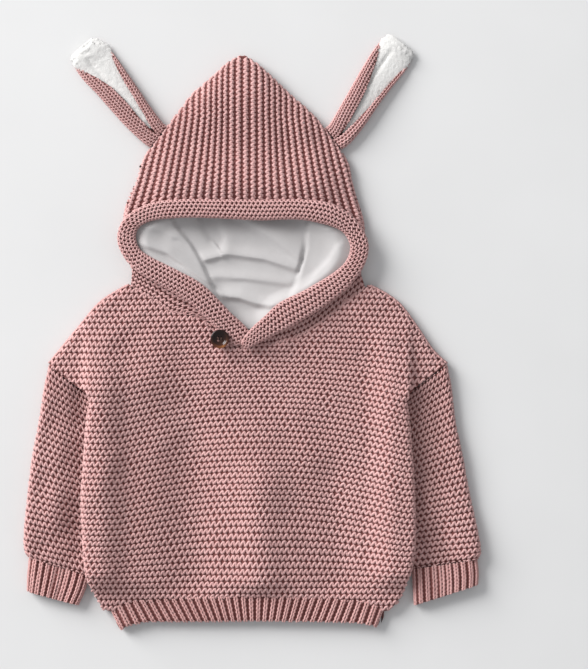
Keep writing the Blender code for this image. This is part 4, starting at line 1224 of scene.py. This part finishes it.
shape = bmesh.new()
for k in range(4):
    angle = math.pi / 4 + math.pi / 2 * k
    made = bmesh.ops.create_cone(shape, cap_ends=True, segments=20, radius1=HOLE_RADIUS * MM,
                                 radius2=HOLE_RADIUS * MM, depth=0.02)
    hole_x = BUTTON_AT[0] + HOLE_OFFSET * math.cos(angle)
    hole_y = BUTTON_AT[1] + HOLE_OFFSET * math.sin(angle)
    bmesh.ops.translate(shape, verts=made["verts"], vec=(hole_x * MM, hole_y * MM, BUTTON_AT[2] * MM))
drills = shaped("drills", shape)
cut = disc.modifiers.new("holes", "BOOLEAN")
cut.operation, cut.solver, cut.object = "DIFFERENCE", "EXACT", drills
turned_button = made_plain("turned_button", disc)
bpy.data.objects.remove(drills)
turned_button.data.shade_smooth()
turned_button.data.set_sharp_from_angle(angle=math.radians(40))

horn, wire, shader = finish("brown_horn", 0.2, Specular_IOR_Level=0.3)
spot = wire.node("ShaderNodeTexCoord", None, None, "Object")
spot = wire.node("ShaderNodeSeparateXYZ", None, {0: spot})
aside, over = spot - BUTTON_AT[0] * MM, spot.other(1) - BUTTON_AT[1] * MM
# painted light: low is about 1 at the rim's lower edge, where the ramp turns amber like light caught in the
# horn; the rim is also coloured a little lighter than the dish
low = (aside * 0.35 - over) / (BUTTON_RADIUS * MM)       # about 1 at the rim's lower edge
rim = wire.maths("GREATER_THAN", wire.maths("SQRT", aside * aside + over * over), 0.7 * BUTTON_RADIUS * MM)
grain = noise(wire, 320.0, 4.0, Distortion=1.4)
# dark brown horn, with the top stop the amber of painted light at the lower edge
horn_and_caught_light = wire.node("ShaderNodeValToRGB", {"stops": (
    (0.0, (0.012, 0.004, 0.003)), (0.45, (0.035, 0.012, 0.007)), (0.78, (0.10, 0.032, 0.014)),
    (1.0, (0.50, 0.19, 0.055)))}, {0: low * 0.55 + grain * 0.35 + rim * 0.24 - 0.06})
wire.tree.links.new(horn_and_caught_light.socket, shader["Base Color"])
emboss(wire, shader, grain, 0.12, 0.2)
turned_button.data.materials.clear()
turned_button.data.materials.append(horn)
dress(turned_button, "button")

thread_curve = bpy.data.curves.new("thread", "CURVE")
thread_curve.dimensions = "3D"
thread_curve.bevel_depth = 0.32 * MM
thread_curve.bevel_resolution = 2
for side in (-1, 1):
    for nudge in (-0.3, 0.3):
        strand = thread_curve.splines.new("POLY")
        strand.points.add(8)
        for k, point in enumerate(strand.points):
            share = k / 4 - 1
            x = BUTTON_AT[0] + side * HOLE_OFFSET * 0.7 + nudge
            y = BUTTON_AT[1] + share * HOLE_OFFSET * 0.72
            z = BUTTON_AT[2] + 0.6 + 1.5 * (1 - share ** 4)
            point.co = (x * MM, y * MM, z * MM, 1)
thread = made_plain("button_thread", placed("thread_shape", thread_curve))
brown_thread, wire, shader = finish("brown_thread", 0.8)
paint(wire, shader, noise(wire, 2400.0), (0.03, 0.012, 0.008), (0.09, 0.04, 0.028))
thread.data.materials.append(brown_thread)
dress(thread, None)


# ---------------------------------------------------------------- floor, light and camera
# The garment lies on a pale matte board, lit softly from the upper left and seen from straight above.

CAMERA_HIGH = 2200.0    # far enough to see the garment almost without perspective
VIEW_MIDDLE = (43.2, 115.5)
VIEW_TALL = 615.5       # what the frame shows, at the garment's height
WINDOW_AT = (-4600, 3500, 2750)
WINDOW_SIZE = 3.8       # in metres
WINDOW_POWER = 690
SKY_POWER = 0.54

shape = bmesh.new()
bmesh.ops.create_grid(shape, x_segments=1, y_segments=1, size=2.5)
board = shaped("board", shape)
board_finish, wire, shader = finish("white_board", 0.9)
paint(wire, shader, noise(wire, 7.0, 3.0), (0.645, 0.64, 0.635), (0.705, 0.70, 0.695))
board.data.materials.append(board_finish)

world = bpy.data.worlds.new("studio")
world.use_nodes = True
world.node_tree.nodes["Background"].inputs["Color"].default_value = (0.95, 0.97, 1.0, 1)
world.node_tree.nodes["Background"].inputs["Strength"].default_value = SKY_POWER
bpy.context.scene.world = world
bpy.context.scene.view_settings.view_transform = "Standard"

window = bpy.data.lights.new("window", "AREA")
window.size = WINDOW_SIZE
window.energy = WINDOW_POWER
lamp = placed("window", window)
lamp.location = [c * MM for c in WINDOW_AT]
lamp.rotation_euler = (math.atan2(math.hypot(*WINDOW_AT[:2]), WINDOW_AT[2]), 0,
                       math.atan2(WINDOW_AT[0], -WINDOW_AT[1]))

camera_data = bpy.data.cameras.new("camera")
camera_data.sensor_fit = "VERTICAL"
camera_data.angle_y = 2 * math.atan(VIEW_TALL / 2 / CAMERA_HIGH)
camera = placed("camera", camera_data)
camera.location = (VIEW_MIDDLE[0] * MM, VIEW_MIDDLE[1] * MM, CAMERA_HIGH * MM)
bpy.context.scene.camera = camera
